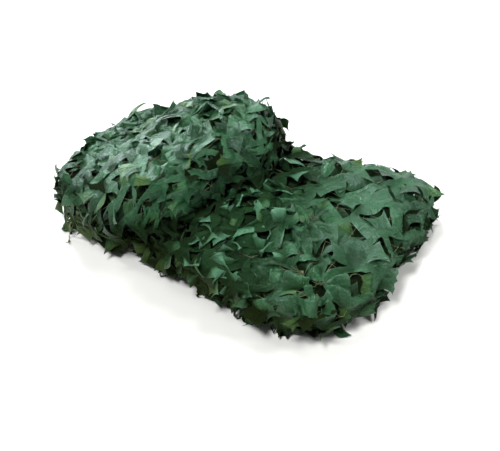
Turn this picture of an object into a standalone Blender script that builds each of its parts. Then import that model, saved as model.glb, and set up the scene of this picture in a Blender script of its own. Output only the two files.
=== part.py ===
"""Folded leaf-cut camouflage netting, as put away after use.

One long cloth is folded back and forth into a low slab, and its left half is turned over again as a
higher lobe. The cloth keeps its open leaf-shaped gaps through every ply. Two tie knots hold it to the
string net that it is fastened on, and one loose string hangs from its left end with a knot on its tip.

The bundle rests on z = 0 with its middle at the origin: +X along it towards the slab's folded end,
+Y towards its back edge, +Z up.
"""

import math
from collections import namedtuple

import bmesh
import bpy
from mathutils import Vector, noise
from mathutils.bvhtree import BVHTree

# The cloth, metres
CLOTH = 0.002  # thickness
COLUMNS = 18  # cells across the cloth
SIDE_SHARE = 0.34  # of the half width on top, the cloth that droops over each side
SLAB_CORNER = 5.0  # exponent of the slab's rounded shoulder: higher is squarer
LOBE_CORNER = 3.4
PLY_INSET = 0.032  # how much narrower the lowest ply lies than the top one
LOBE_SEAT = 0.018  # gap between the slab's top ply and the lobe's lowest one

# The bundle's outline from left to right: its front and back edges, the height of the slab's top ply
# and the height of the whole stack
Station = namedtuple("Station", "x front back slab stack")
STATIONS = (
    Station(-0.36, -0.232, 0.141, 0.054, 0.104),
    Station(-0.28, -0.244, 0.166, 0.061, 0.130),
    Station(-0.20, -0.250, 0.216, 0.071, 0.187),
    Station(-0.08, -0.252, 0.240, 0.086, 0.207),
    Station(0.04, -0.254, 0.212, 0.096, 0.180),
    Station(0.15, -0.257, 0.250, 0.102, 0.180),
    Station(0.36, -0.262, 0.262, 0.101, 0.180),
)

# The plies in the order that the cloth runs through them. Level 0 lies on the surface, 3 is the slab's
# top, 4 the lobe's base and 7 its top. A ply's edges droop to the given share of its own height, and
# each run ends in a fold of the given depth
Run = namedtuple("Run", "name level start end cells edge_rise fold_depth fold_cells")
RUNS = (
    Run("floor ply", 0, -0.290, 0.300, 18, 0.30, 0.062, 5),
    Run("slab top", 3, 0.300, -0.290, 19, 0.32, 0.014, 2),
    Run("lobe base", 4, -0.290, 0.012, 8, 0.60, 0.046, 5),
    Run("lobe top", 7, -0.055, -0.270, 7, 0.24, 0.084, 5),
    Run("second slab ply", 1, -0.285, 0.298, 17, 0.55, 0.032, 2),
    Run("third slab ply", 2, 0.298, -0.302, 17, 0.55, 0.028, 2),
    Run("second lobe ply", 5, -0.302, -0.016, 7, 0.55, 0.024, 2),
    Run("third lobe ply", 6, -0.055, -0.215, 5, 0.55, 0.0, 0),
)
OUTER_LEVELS = (0, 7)
HELD_RISE = 0.85  # edge rise of the plies that are folded inside the left end
SLAB_LEVELS = 3
LOBE_BASE = 4
LOBE_LEVELS = 3
LOBE_END = 0.060

# How far the corners of the folded ends draw in
RIGHT_FRONT_BOW = 0.105
RIGHT_BACK_BOW = 0.045
LEFT_FRONT_BOW = 0.055
LEFT_BACK_BOW = 0.050
LOBE_BOW = 0.035
BOW_POWER = 5.0
LOBE_TAPER = 0.045  # how much narrower the lobe gets on each side at its right end

# Unevenness
SWELL = 0.007  # slow rise and fall shared by all the plies
SWELL_PITCH = 0.16
SWELL_OFFSETS = (Vector((3.1, 0.0, 0.0)), Vector((0.0, 7.4, 0.0)), Vector((0.0, 0.0, 5.2)))
LEAF_RELIEF = 0.0075  # how far a leaf lifts from its ply where there is room for it
TIGHT = 0.006  # ply spacing that leaves no room for any relief
LIFT_SHARE = 0.28  # of the ply spacing beyond that
OFF_FLOOR = 0.030  # height from which the relief is whole
LEAST_ROOM = 0.010  # ply spacing below which the cloth is cut no gap, as in the tightest fold

# Leaf-shaped gaps: two cells wide, repeated along and across the cloth
GAP_PITCH_ALONG = 3
GAP_PITCH_ACROSS = 4
GAP_BOW = 0.36  # of a cell, how far the gap's middle curves along the cloth
GAP_OPEN = 0.16  # of a cell, how far the gap's middle is pulled open
GAP_TIP = 0.30  # of a cell, how far each end closes to a tip

# The string end that hangs loose at the left, from the cloth down to the surface, and the knot on its
# tip, which lies there
STRING = 0.0018  # diameter
STRING_STEP = 0.0045  # distance between the tube's points
STRING_ROUTE = (
    (-0.2598, -0.2415, 0.0480),
    (-0.2601, -0.2442, 0.0476),
    (-0.2607, -0.2462, 0.0440),
    (-0.2618, -0.2460, 0.0360),
    (-0.2645, -0.2450, 0.0260),
    (-0.2678, -0.2445, 0.0160),
    (-0.2700, -0.2452, 0.0075),
    (-0.2698, -0.2470, 0.0030),
    (-0.2682, -0.2490, 0.0020),
    (-0.2663, -0.2509, 0.0030),
)
KNOT_PLACE = Vector((-0.2640, -0.2532, 0.0032))
KNOT_SIZE = (0.0056, 0.0056, 0.0058)

# The knots that tie the cloth to the string net, by where they lie: x, y and length, width, height
Tie = namedtuple("Tie", "name x y length width height")
TIES = (
    Tie("tie_knot_middle", 0.172, -0.024, 0.014, 0.010, 0.007),
    Tie("tie_knot_corner", 0.277, -0.161, 0.012, 0.009, 0.006),
)
TIE_GAP = 0.0004
TIE_SETTLES = 4


def ease(low, high, value):
    """0 below low, 1 above high and a smooth rise between."""
    share = min(max((value - low) / (high - low), 0.0), 1.0)
    return share * share * (3.0 - 2.0 * share)


def blend(first, second, share):
    return first + (second - first) * share


def station_at(x):
    """The outline and heights at x, on a smooth curve through the stations."""
    last = len(STATIONS) - 1
    index = 0
    while index < last - 1 and x > STATIONS[index + 1].x:
        index += 1
    here, following = STATIONS[index], STATIONS[index + 1]
    before, after = STATIONS[max(index - 1, 0)], STATIONS[min(index + 2, last)]
    share = min(max((x - here.x) / (following.x - here.x), 0.0), 1.0)
    square, cube = share * share, share * share * share

    def hermite(a, b, c, d):
        span = following.x - here.x
        slope_in = (c - a) / (following.x - before.x) * span
        slope_out = (d - b) / (after.x - here.x) * span
        return (
            b * (2 * cube - 3 * square + 1)
            + slope_in * (cube - 2 * square + share)
            + c * (3 * square - 2 * cube)
            + slope_out * (cube - square)
        )

    return Station(*map(hermite, before, here, following, after))._replace(x=x)


def ply_height(level, x):
    """Height of a ply's middle above the surface."""
    station = station_at(x)
    if level <= SLAB_LEVELS:
        return blend(CLOTH / 2, station.slab, level / SLAB_LEVELS)
    base = station.slab + LOBE_SEAT
    return blend(base, station.stack, (level - LOBE_BASE) / LOBE_LEVELS)


# A point of the cloth's section: where it is along the bundle, its height, whether it belongs to the
# lobe, how far its edges droop, and the room that its leaves have
SectionPoint = namedtuple("SectionPoint", "x z lobe edge_rise room")


def edge_rise_at(run, x):
    """How far a ply's edges droop at x: the inner folds at the left end are held up by the outer one."""
    held = 0.0 if run.level in OUTER_LEVELS else 1.0 - ease(-0.30, -0.16, x)
    return blend(run.edge_rise, HELD_RISE, held)


def run_points(run):
    """Points of one flat run, from its start to just before its fold."""
    points = []
    for step in range(run.cells):
        x = blend(run.start, run.end, step / run.cells)
        station = station_at(x)
        if run.level == LOBE_BASE or (run.level == SLAB_LEVELS and x < LOBE_END):
            room = LOBE_SEAT
        elif run.level <= SLAB_LEVELS:
            room = station.slab / SLAB_LEVELS
        else:
            room = (station.stack - station.slab - LOBE_SEAT) / LOBE_LEVELS
        height = ply_height(run.level, x)
        points.append(SectionPoint(x, height, run.level >= LOBE_BASE, edge_rise_at(run, x), room))
    return points


def fold_points(run, following):
    """Points round the fold from the end of one run to the start of the next."""
    low = ply_height(run.level, run.end)
    high = ply_height(following.level, following.start)
    outward = math.copysign(run.fold_depth, run.end - run.start)
    lobe = run.level >= LOBE_BASE and following.level >= LOBE_BASE
    points = []
    for step in range(run.fold_cells + 1):
        share = step / (run.fold_cells + 1)
        turn = math.pi * share
        x = blend(run.end, following.start, share) + outward * math.sin(turn)
        z = blend(low, high, 0.5 - 0.5 * math.cos(turn))
        ends = edge_rise_at(run, run.end), edge_rise_at(following, following.start)
        edge_rise = blend(*ends, share)
        points.append(SectionPoint(x, z, lobe, edge_rise, abs(high - low) / 3))
    return points


def section():
    """The folded cloth's section, from its free edge on the surface to the one inside the lobe."""
    points = []
    for run, following in zip(RUNS, RUNS[1:]):
        points += run_points(run)
        points += fold_points(run, following)
    points += run_points(RUNS[-1])
    return points


def cross(share, corner, edge_rise):
    """Where a point at this share of the half width lies: across, and as a share of its ply's height."""
    along = abs(share) * (1.0 + SIDE_SHARE)
    across = min(along, 1.0)
    rise = 1.0 - max(along - 1.0, 0.0) / SIDE_SHARE * (1.0 - edge_rise)
    size = (across**corner + rise**corner) ** (1.0 / corner)
    return math.copysign(across / size, share), rise / size


def bow(x, lobe, across):
    """How far the ends of the folds draw in towards the bundle's corners."""
    if lobe:
        right = LOBE_BOW * ease(-0.12, 0.05, x)
    else:
        right = (RIGHT_FRONT_BOW if across < 0 else RIGHT_BACK_BOW) * ease(0.04, 0.36, x)
    left = (LEFT_FRONT_BOW if across < 0 else LEFT_BACK_BOW) * (1.0 - ease(-0.36, -0.02, x))
    return (left - right) * abs(across) ** BOW_POWER


def swell(place):
    """The slow unevenness that all the plies share, none at the surface."""
    rise = ease(0.0, 0.06, place.z - CLOTH / 2)
    at = place / SWELL_PITCH
    drift = Vector([noise.noise(at + offset) for offset in SWELL_OFFSETS])
    return drift * (SWELL * rise)


def placed(point, share):
    """The world place of a section point at this share of the half width, and the room left there."""
    station = station_at(point.x)
    over_slab = ease(-0.27, -0.12, point.x)
    lobe_share = ease(station.slab, station.slab + 0.05, point.z)
    corner = blend(SLAB_CORNER, LOBE_CORNER, lobe_share)
    across, rise = cross(share, corner, point.edge_rise)
    base = blend(CLOTH / 2, station.slab, over_slab) if point.lobe else CLOTH / 2
    height = base + (point.z - base) * rise
    if point.lobe:
        depth_in_stack = (station.stack - point.z) / (station.stack - station.slab) * 0.7
    else:
        depth_in_stack = 1.0 - point.z / station.slab
    whole_stack = 1.0 - point.z / station.stack
    inset = PLY_INSET * blend(whole_stack, depth_in_stack, ease(-0.13, 0.0, point.x))
    middle = (station.front + station.back) / 2
    taper = LOBE_TAPER * ease(-0.12, 0.06, point.x) if point.lobe else 0.0
    half = (station.back - station.front) / 2 - inset - taper
    x = point.x + bow(point.x, point.lobe, across)
    place = Vector((x, middle + across * half, height))
    return place + swell(place), point.room * rise


def gap_offsets():
    """For each vertex round a leaf gap, from the gap's first vertex: its move in cells and its lift."""
    tip = (GAP_TIP, 0.15, 0.1)
    inner = (GAP_BOW - GAP_OPEN, 1.0)
    outer = (GAP_BOW + GAP_OPEN, -0.5)
    return {
        (0, 0): (tip[0], -tip[1], tip[2]),
        (0, 1): (inner[0], 0.0, inner[1]),
        (0, 2): (tip[0], tip[1], tip[2]),
        (1, 0): (-tip[0], -tip[1], -tip[2]),
        (1, 1): (outer[0], 0.0, outer[1]),
        (1, 2): (-tip[0], tip[1], -tip[2]),
    }


def gaps(rows):
    """The first cell of each leaf gap, as a row along the cloth and a column across it."""
    for band in range(rows // GAP_PITCH_ALONG):
        row = 1 + band * GAP_PITCH_ALONG
        first = 1 + (GAP_PITCH_ACROSS // 2) * (band % 2)
        for column in range(first, COLUMNS - 2, GAP_PITCH_ACROSS):
            if row + 1 < rows:
                yield row, column


def point_at(points, row):
    """The section at a row that may lie between two of its points."""
    index = min(int(row), len(points) - 2)
    share = row - index
    here, following = points[index], points[index + 1]
    return SectionPoint(
        blend(here.x, following.x, share),
        blend(here.z, following.z, share),
        here.lobe if share < 0.5 else following.lobe,
        blend(here.edge_rise, following.edge_rise, share),
        blend(here.room, following.room, share),
    )


def netting_mesh():
    """The folded cloth as one open surface with its leaf gaps cut through."""
    points = section()
    rows = len(points) - 1
    moves = {}
    cut = set()
    for row, column in gaps(rows):
        if min(point.room for point in points[row : row + 2]) < LEAST_ROOM:
            continue
        cut |= {(row, column), (row, column + 1)}
        for (down, over), move in gap_offsets().items():
            moves[row + down, column + over] = move

    bm = bmesh.new()
    bmesh.ops.create_grid(bm, x_segments=rows, y_segments=COLUMNS, size=0.5)
    gap_faces = []
    for face in bm.faces:
        centre = face.calc_center_median()
        cell = (int((centre.x + 0.5) * rows), int((centre.y + 0.5) * COLUMNS))
        if cell in cut:
            gap_faces.append(face)
    lifts = []
    for vert in bm.verts:
        row = round((vert.co.x + 0.5) * rows)
        column = round((vert.co.y + 0.5) * COLUMNS)
        along, over, lift = moves.get((row, column), (0.0, 0.0, 0.0))
        share = 2.0 * (column + over) / COLUMNS - 1.0
        vert.co, room = placed(point_at(points, row + along), share)
        rumple = noise.noise(vert.co / 0.05)
        most = min(LEAF_RELIEF, LIFT_SHARE * max(room - TIGHT, 0.0))
        lifts.append((lift + 0.6 * rumple) * most * ease(CLOTH, OFF_FLOOR, vert.co.z))
    bm.normal_update()
    raised = [vert.co - vert.normal * lift for vert, lift in zip(bm.verts, lifts)]
    for vert, place in zip(bm.verts, raised):
        vert.co = place
    bmesh.ops.delete(bm, geom=gap_faces, context="FACES")
    mesh = bpy.data.meshes.new("netting")
    bm.to_mesh(mesh)
    bm.free()
    return mesh


def string_points():
    """The loose string's line: even steps along a smooth curve through its route."""
    route = [Vector(point) for point in STRING_ROUTE]
    padded = [route[0] * 2 - route[1], *route, route[-1] * 2 - route[-2]]
    points = []
    for before, here, following, after in zip(padded, padded[1:], padded[2:], padded[3:]):
        steps = max(1, round((following - here).length / STRING_STEP))
        for step in range(steps):
            share = step / steps
            slope_in = (following - before) / 2
            slope_out = (after - here) / 2
            square, cube = share * share, share * share * share
            points.append(
                here * (2 * cube - 3 * square + 1)
                + slope_in * (cube - 2 * square + share)
                + following * (3 * square - 2 * cube)
                + slope_out * (cube - square)
            )
    return [*points, route[-1]]


def loose_string():
    """The string as a round tube with closed ends."""
    curve = bpy.data.curves.new("loose_string", "CURVE")
    curve.dimensions = "3D"
    curve.bevel_depth = STRING / 2
    curve.bevel_resolution = 2
    curve.use_fill_caps = True
    spline = curve.splines.new("POLY")
    points = string_points()
    spline.points.add(len(points) - 1)
    for target, place in zip(spline.points, points):
        target.co = (*place, 1.0)
    return bpy.data.objects.new("loose_string", curve)


def knot_object(name, size, place, normal):
    """A small tight knot: a lumpy ball of this length, width and height, its middle at place."""
    bm = bmesh.new()
    bmesh.ops.create_uvsphere(bm, u_segments=12, v_segments=8, radius=0.5)
    for vert in bm.verts:
        turn = math.atan2(vert.co.y, vert.co.x)
        lump = 1.0 + 0.08 * math.cos(3 * turn) * (1.0 - abs(vert.co.z) * 2)
        vert.co = Vector((vert.co.x * size[0] * lump, vert.co.y * size[1] * lump, vert.co.z * size[2]))
    mesh = bpy.data.meshes.new(name)
    bm.to_mesh(mesh)
    bm.free()
    mesh.shade_smooth()
    knot = bpy.data.objects.new(name, mesh)
    knot.location = place
    knot.rotation_mode = "QUATERNION"
    knot.rotation_quaternion = normal.to_track_quat("Z", "Y")
    return knot


def string_knot():
    """The knot on the loose string's tip."""
    return knot_object("string_knot", KNOT_SIZE, KNOT_PLACE, Vector((0, 0, 1)))


def tie_knot(tie, on_top):
    """A tie's knot, let down onto the cloth straight below the tie's place until it is seated."""
    seat, outward, _, _ = on_top.ray_cast(Vector((tie.x, tie.y, 1.0)), Vector((0.0, 0.0, -1.0)))
    if outward.z < 0:
        outward = -outward
    place = seat + outward * tie.height
    knot = knot_object(tie.name, (tie.length, tie.width, tie.height), place, outward)
    for _ in range(TIE_SETTLES):
        turn = knot.rotation_quaternion
        rooms = [on_top.find_nearest(turn @ vert.co + knot.location)[3] for vert in knot.data.vertices]
        knot.location -= outward * (min(rooms) - TIE_GAP)
    return knot


def finish(name, colour, roughness):
    material = bpy.data.materials.new(name)
    material.use_nodes = True
    shader = material.node_tree.nodes["Principled BSDF"]
    shader.inputs["Base Color"].default_value = (*colour, 1.0)
    shader.inputs["Roughness"].default_value = roughness
    return material


def main():
    for old in list(bpy.data.objects):
        bpy.data.objects.remove(old)
    collection = bpy.data.collections.new("camouflage_netting")
    bpy.context.scene.collection.children.link(collection)

    netting = bpy.data.objects.new("netting", netting_mesh())
    netting.data.materials.append(finish("green_oxford_cloth", (0.020, 0.085, 0.050), 0.75))
    wall = netting.modifiers.new("cloth thickness", "SOLIDIFY")
    wall.thickness = CLOTH
    wall.offset = 0.0

    collection.objects.link(netting)
    on_top = BVHTree.FromObject(netting, bpy.context.evaluated_depsgraph_get())

    string_finish = finish("khaki_string", (0.20, 0.17, 0.08), 0.85)
    small = [loose_string(), string_knot(), *(tie_knot(tie, on_top) for tie in TIES)]
    for piece in small:
        piece.data.materials.append(string_finish)
        collection.objects.link(piece)


main()
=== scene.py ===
"""The looks of a folded leaf-cut camouflage netting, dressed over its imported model.

The netting is one dark green oxford cloth, die-cut into leaves and tied to a string net. It is folded
back and forth into a low slab, and its left half is turned over once more as a higher lobe. The plies
here follow the same folds as the solid: a long one through the whole bundle, and finer ones over what
shows of the slab and of the lobe.
"""

import logging
import math
from dataclasses import astuple, dataclass
from enum import Enum, IntEnum

import bmesh
import bpy
import numpy as np
from mathutils import Matrix, Vector, noise
from mathutils.bvhtree import BVHTree


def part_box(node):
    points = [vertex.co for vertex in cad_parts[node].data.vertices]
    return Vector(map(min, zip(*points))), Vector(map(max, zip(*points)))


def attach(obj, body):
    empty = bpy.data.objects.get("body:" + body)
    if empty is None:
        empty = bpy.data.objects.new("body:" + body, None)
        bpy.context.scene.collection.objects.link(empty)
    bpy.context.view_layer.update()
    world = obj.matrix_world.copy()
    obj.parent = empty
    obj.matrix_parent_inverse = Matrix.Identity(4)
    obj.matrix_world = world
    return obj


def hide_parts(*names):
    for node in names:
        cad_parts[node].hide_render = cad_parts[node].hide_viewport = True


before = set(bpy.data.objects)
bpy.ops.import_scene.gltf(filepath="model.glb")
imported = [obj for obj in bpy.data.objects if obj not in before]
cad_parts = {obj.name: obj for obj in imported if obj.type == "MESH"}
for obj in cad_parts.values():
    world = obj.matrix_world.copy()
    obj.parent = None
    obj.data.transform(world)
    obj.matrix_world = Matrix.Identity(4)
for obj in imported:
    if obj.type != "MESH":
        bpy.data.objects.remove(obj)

log = logging.getLogger("netting")
logging.basicConfig(level=logging.INFO, format="%(message)s")

BODY = "root"
CLOTH = 0.002  # the solid's ply thickness, metres
FLOOR_ROOM = 0.0012  # how far above the surface the lowest leaf stays
SLAB_TOP_FLOOR = 0.08  # what lies on top of the slab or the lobe is higher than this
STRING_CORNER = np.array((-0.264, -0.250, 0.030))  # where the end of string hangs

Array = np.ndarray
Piece = bpy.types.Object
Finish = bpy.types.Material
Socket = bpy.types.NodeSocket
Pair = tuple[float, float]
Ramps = tuple[Pair, ...]
Colour = tuple[float, float, float, float]
Place = tuple[float, float, float]


# Small shared helpers ----------------------------------------


def ease(low: float, high: float, value: Array) -> Array:
    """0 below low, 1 above high and a smooth rise between.

    Args:
        low: where the rise starts.
        high: where it ends.
        value: one number or an array of them.

    Returns:
        The eased share, in the shape of value.
    """
    share = np.clip((value - low) / (high - low), 0.0, 1.0)
    return share * share * (3.0 - 2.0 * share)


def blend(first: Array, second: Array, share: Array) -> Array:
    """The mix of two values at a share from 0 to 1."""
    return first + (second - first) * share


def hermite(
    here: Array | Vector,
    following: Array | Vector,
    slopes: tuple[Array | Vector, Array | Vector],
    share: Array | float,
) -> Array | Vector:
    """A place on the smooth curve between two points.

    Args:
        here: the first point.
        following: the second one.
        slopes: the curve's slope at each of them.
        share: how far along, from 0 to 1.

    Returns:
        The place, of the same kind as the points.
    """
    square, cube = share**2, share**3
    return (
        here * (2 * cube - 3 * square + 1)
        + slopes[0] * (cube - 2 * square + share)
        + following * (3 * square - 2 * cube)
        + slopes[1] * (cube - square)
    )


def noise_from(points: Array) -> Array:
    """Smooth noise from about -1 to 1 at each point."""
    return np.fromiter(map(noise.noise, points.tolist()), float, len(points))


def noise_at(places: Array, pitch: float, seed: float) -> Array:
    """Smooth noise from about -1 to 1 at each place.

    Args:
        places: points, one a row.
        pitch: size of the noise's lumps in metres.
        seed: shifts the noise, so that two uses of it differ.

    Returns:
        One value a point.
    """
    return noise_from(places / pitch + np.array((seed * 13.7, seed * -7.9, seed * 5.3)))


def ridges_at(places: Array, pitch: float, seed: float, sharpness: float = 2.2) -> Array:
    """Creased noise from 0 to 1, with sharp crests where a stiff cloth folds."""
    return 1.0 - np.minimum(np.abs(noise_at(places, pitch, seed)) * sharpness, 1.0)


def turned(points: Array, degrees: float) -> tuple[Array, Array]:
    """The two coordinates of points turned about the origin."""
    turn = math.radians(degrees)
    first = points[:, 0] * math.cos(turn) - points[:, 1] * math.sin(turn)
    second = points[:, 0] * math.sin(turn) + points[:, 1] * math.cos(turn)
    return first, second


def box_of(node: str) -> Array:
    """The low and high corners of a node's box."""
    return np.array(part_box(node), dtype=float)


def from_above(places: Array, spot: Pair) -> Array:
    """How far each place is from a spot, seen from above."""
    return np.hypot(*(places[:, :2] - np.array(spot)).T)


def nearest_on_top(places: Array, spot: Pair) -> int:
    """Which of the places on top of the bundle is nearest to a spot, seen from above."""
    return int(np.argmin(from_above(places, spot) + 10.0 * (places[:, 2] < SLAB_TOP_FLOOR)))


def link(obj: Piece) -> Piece:
    """Puts an object in the scene and returns it."""
    bpy.context.scene.collection.objects.link(obj)
    return obj


@dataclass(frozen=True)
class Zone:
    """A part of the bundle that fades in and out along its axes.

    Attributes:
        x: ramps along the bundle, each from where the share is 0 to where it is 1.
        y: ramps across it.
        z: ramps in height.
    """

    x: Ramps = ()
    y: Ramps = ()
    z: Ramps = ()

    def share(self, places: Array) -> Array:
        """How far inside the zone each place is, from 0 to 1."""
        inside = np.ones(len(places))
        for axis, ramps in enumerate((self.x, self.y, self.z)):
            for nothing, whole in ramps:
                inside = inside * ease(nothing, whole, places[:, axis])
        return inside


def string_curve(
    name: str, lines: list[Array], diameter: float, roundness: int, closed: frozenset[int]
) -> bpy.types.Curve:
    """Round strings along several lines, as one curve.

    Args:
        name: the curve's name.
        lines: the points of each string.
        diameter: their thickness in metres.
        roundness: 0 for a string of four sides, more for a rounder one.
        closed: which of the lines are rings.
    """
    curve = bpy.data.curves.new(name, "CURVE")
    curve.dimensions = "3D"
    curve.bevel_depth = diameter / 2
    curve.bevel_resolution = roundness
    curve.use_fill_caps = True
    for index, line in enumerate(lines):
        spline = curve.splines.new("POLY")
        spline.points.add(len(line) - 1)
        spline.points.foreach_set("co", np.column_stack((line, np.ones(len(line)))).ravel())
        spline.use_cyclic_u = index in closed
    return curve


def tubes(
    name: str,
    lines: list[Array],
    diameter: float,
    finish: Finish,
    closed: frozenset[int] = frozenset(),
    roundness: int = 0,
) -> Piece:
    """Round strings along several lines, as one mesh.

    Args:
        name: the piece's name.
        lines: the points of each string.
        diameter: their thickness in metres.
        finish: their material.
        closed: which of the lines are rings.
        roundness: 0 for a tube of four sides, more for a rounder one.

    Returns:
        The finished piece.
    """
    curve = string_curve(name, lines, diameter, roundness, closed)
    drawn = link(bpy.data.objects.new(f"{name}_line", curve))
    depsgraph = bpy.context.evaluated_depsgraph_get()
    mesh = bpy.data.meshes.new_from_object(drawn.evaluated_get(depsgraph))
    bpy.data.objects.remove(drawn)
    mesh.name = name
    mesh.materials.clear()
    mesh.materials.append(finish)
    mesh.shade_smooth()
    return link(bpy.data.objects.new(name, mesh))


# The folded form, with the same sizes as the solid's source --


@dataclass(frozen=True)
class Station:
    """The bundle's outline at one place along it."""

    x: float
    front: float
    back: float
    slab: float
    stack: float


@dataclass(frozen=True)
class Run:
    """One flat ply and the fold that ends it."""

    name: str
    level: int
    start: float
    end: float
    edge_rise: float
    fold_depth: float


@dataclass
class SectionLine:
    """A stretch of the cloth's section, point by point."""

    x: Array
    z: Array
    lobe: Array
    edge_rise: Array

    @staticmethod
    def joined(lines: list["SectionLine"]) -> "SectionLine":
        """Several stretches as one."""
        parts = [(line.x, line.z, line.lobe, line.edge_rise) for line in lines]
        return SectionLine(*(np.concatenate(column) for column in zip(*parts)))


STATIONS = (
    Station(-0.36, -0.232, 0.141, 0.054, 0.104),
    Station(-0.28, -0.244, 0.166, 0.061, 0.130),
    Station(-0.20, -0.250, 0.216, 0.071, 0.187),
    Station(-0.08, -0.252, 0.240, 0.086, 0.207),
    Station(0.04, -0.254, 0.212, 0.096, 0.180),
    Station(0.15, -0.257, 0.250, 0.102, 0.180),
    Station(0.36, -0.262, 0.262, 0.101, 0.180),
)

FLOOR_PLY = Run("floor ply", 0, -0.290, 0.300, 0.30, 0.062)
SLAB_TOP = Run("slab top", 3, 0.300, -0.290, 0.32, 0.014)
LOBE_BASE = Run("lobe base", 4, -0.290, 0.012, 0.60, 0.046)
LOBE_TOP = Run("lobe top", 7, -0.055, -0.270, 0.24, 0.084)
SECOND_SLAB = Run("second slab ply", 1, -0.285, 0.298, 0.55, 0.032)
THIRD_SLAB = Run("third slab ply", 2, 0.298, -0.302, 0.55, 0.028)
SECOND_LOBE = Run("second lobe ply", 5, -0.302, -0.016, 0.55, 0.024)
THIRD_LOBE = Run("third lobe ply", 6, -0.055, -0.215, 0.55, 0.0)
SLAB_RUNS = FLOOR_PLY, SLAB_TOP
LOBE_RUNS = LOBE_BASE, LOBE_TOP
WHOLE_CLOTH = (*SLAB_RUNS, *LOBE_RUNS, SECOND_SLAB, THIRD_SLAB, SECOND_LOBE, THIRD_LOBE)


@dataclass(frozen=True)
class FoldedForm:
    """The folds that the cloth lies in, with the numbers of the solid's source.

    Attributes:
        side_share: of the half width on top, the cloth that droops over each side.
        side_rise: where the edges droop to, as a share of their ply's height, or None for each run's own.
        slab_corner: how square the slab's long edges are.
        lobe_corner: the same for the lobe.
        corner_change: over what height the one turns into the other, metres.
        ply_inset: how far the lowest plies' sides stay inside the outline, metres.
        inset_share: how much of that the lobe's lowest ply keeps.
        lobe_seat: the lobe's height over the slab.
        held_rise: how little the plies droop at the left end, where they are held.
        slab_levels: plies in the slab, less one.
        lobe_base: number of the lobe's lowest ply.
        lobe_levels: plies in the lobe, less one.
        free_levels: the plies that aren't held at the left end.
        lobe_bow: how far the lobe's right end curves round, metres.
        lobe_taper: how far its sides draw in there.
        right_bows: how far the right end's front and back corners curve round.
        left_bows: the same at the left end.
        bow_power: how suddenly they do.
        swell: size of the slow swell that all plies share, metres.
        swell_pitch: its length.
        held_span: from where to where along the bundle the plies are held.
        lift_span: where the lobe's sides leave the floor.
        inset_span: where the lobe's own inset takes over.
        taper_span: where its sides draw in.
        bow_span: where its right end curves round.
        right_span: where the slab's right end does.
        left_span: where the left end does.
        step: the lattice's step along the section.
        columns: its points across the cloth.
    """

    side_share: float = 0.34
    side_rise: float | None = None
    slab_corner: float = 5.0
    lobe_corner: float = 3.4
    corner_change: float = 0.05
    ply_inset: float = 0.032
    inset_share: float = 0.7
    lobe_seat: float = 0.018
    held_rise: float = 0.85
    slab_levels: int = 3
    lobe_base: int = 4
    lobe_levels: int = 3
    free_levels: tuple[int, int] = (0, 7)
    lobe_bow: float = 0.035
    lobe_taper: float = 0.045
    right_bows: Pair = (0.105, 0.045)
    left_bows: Pair = (0.055, 0.050)
    bow_power: float = 5.0
    swell: float = 0.007
    swell_pitch: float = 0.16
    held_span: Pair = (-0.30, -0.16)
    lift_span: Pair = (-0.27, -0.12)
    inset_span: Pair = (-0.13, 0.0)
    taper_span: Pair = (-0.12, 0.06)
    bow_span: Pair = (-0.12, 0.05)
    right_span: Pair = (0.04, 0.36)
    left_span: Pair = (-0.36, -0.02)
    step: float = 0.008
    columns: int = 96

    def outline(self, x: Array) -> tuple[Array, ...]:
        """The front and back edges, slab height and stack height at each x.

        Args:
            x: places along the bundle.

        Returns:
            Four arrays, on a smooth curve through the stations.
        """
        table = np.array([(s.x, s.front, s.back, s.slab, s.stack) for s in STATIONS])
        last = len(table) - 1
        index = np.clip(np.searchsorted(table[:, 0], x) - 1, 0, last - 1)
        here, following = table[index], table[index + 1]
        before, after = table[np.maximum(index - 1, 0)], table[np.minimum(index + 2, last)]
        span = (following[:, 0] - here[:, 0])[:, None]
        share = np.clip((x - here[:, 0]) / span[:, 0], 0.0, 1.0)[:, None]
        slope_in = (following - before) / (following[:, :1] - before[:, :1]) * span
        slope_out = (after - here) / (after[:, :1] - here[:, :1]) * span
        return tuple(hermite(here, following, (slope_in, slope_out), share)[:, 1:].T)

    def ply_height(self, level: int, x: Array) -> Array:
        """Height of a ply's middle above the surface at each x."""
        _, _, slab, stack = self.outline(x)
        if level <= self.slab_levels:
            return blend(CLOTH / 2, slab, level / self.slab_levels)
        return blend(slab + self.lobe_seat, stack, (level - self.lobe_base) / self.lobe_levels)

    def edge_rise(self, run: Run, x: Array) -> Array:
        """How far a ply's edges droop at each x."""
        if self.side_rise is not None:
            return np.full_like(x, self.side_rise)
        held = 0.0 if run.level in self.free_levels else 1.0
        held = held * (1.0 - ease(*self.held_span, x))
        return blend(run.edge_rise, self.held_rise, held)

    def run_line(self, run: Run) -> SectionLine:
        """The section of one flat ply."""
        count = max(2, round(abs(run.end - run.start) / self.step))
        x = np.linspace(run.start, run.end, count, endpoint=False)
        lobe = np.full(count, run.level >= self.lobe_base)
        return SectionLine(x, self.ply_height(run.level, x), lobe, self.edge_rise(run, x))

    def fold_line(self, run: Run, following: Run) -> SectionLine:
        """The section of the fold from the end of one ply to the start of the next."""
        ends = np.array((run.end, following.start))
        low = self.ply_height(run.level, ends[:1])[0]
        high = self.ply_height(following.level, ends[1:])[0]
        outward = math.copysign(run.fold_depth, run.end - run.start)
        count = max(4, round((2.4 * run.fold_depth + abs(high - low)) / self.step))
        share = np.linspace(0.0, 1.0, count, endpoint=False)
        turn = math.pi * share
        x = blend(run.end, following.start, share) + outward * np.sin(turn)
        z = blend(low, high, 0.5 - 0.5 * np.cos(turn))
        both = run.level >= self.lobe_base and following.level >= self.lobe_base
        rises = self.edge_rise(run, ends[:1])[0], self.edge_rise(following, ends[1:])[0]
        return SectionLine(x, z, np.full(count, both), blend(*rises, share))

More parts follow.
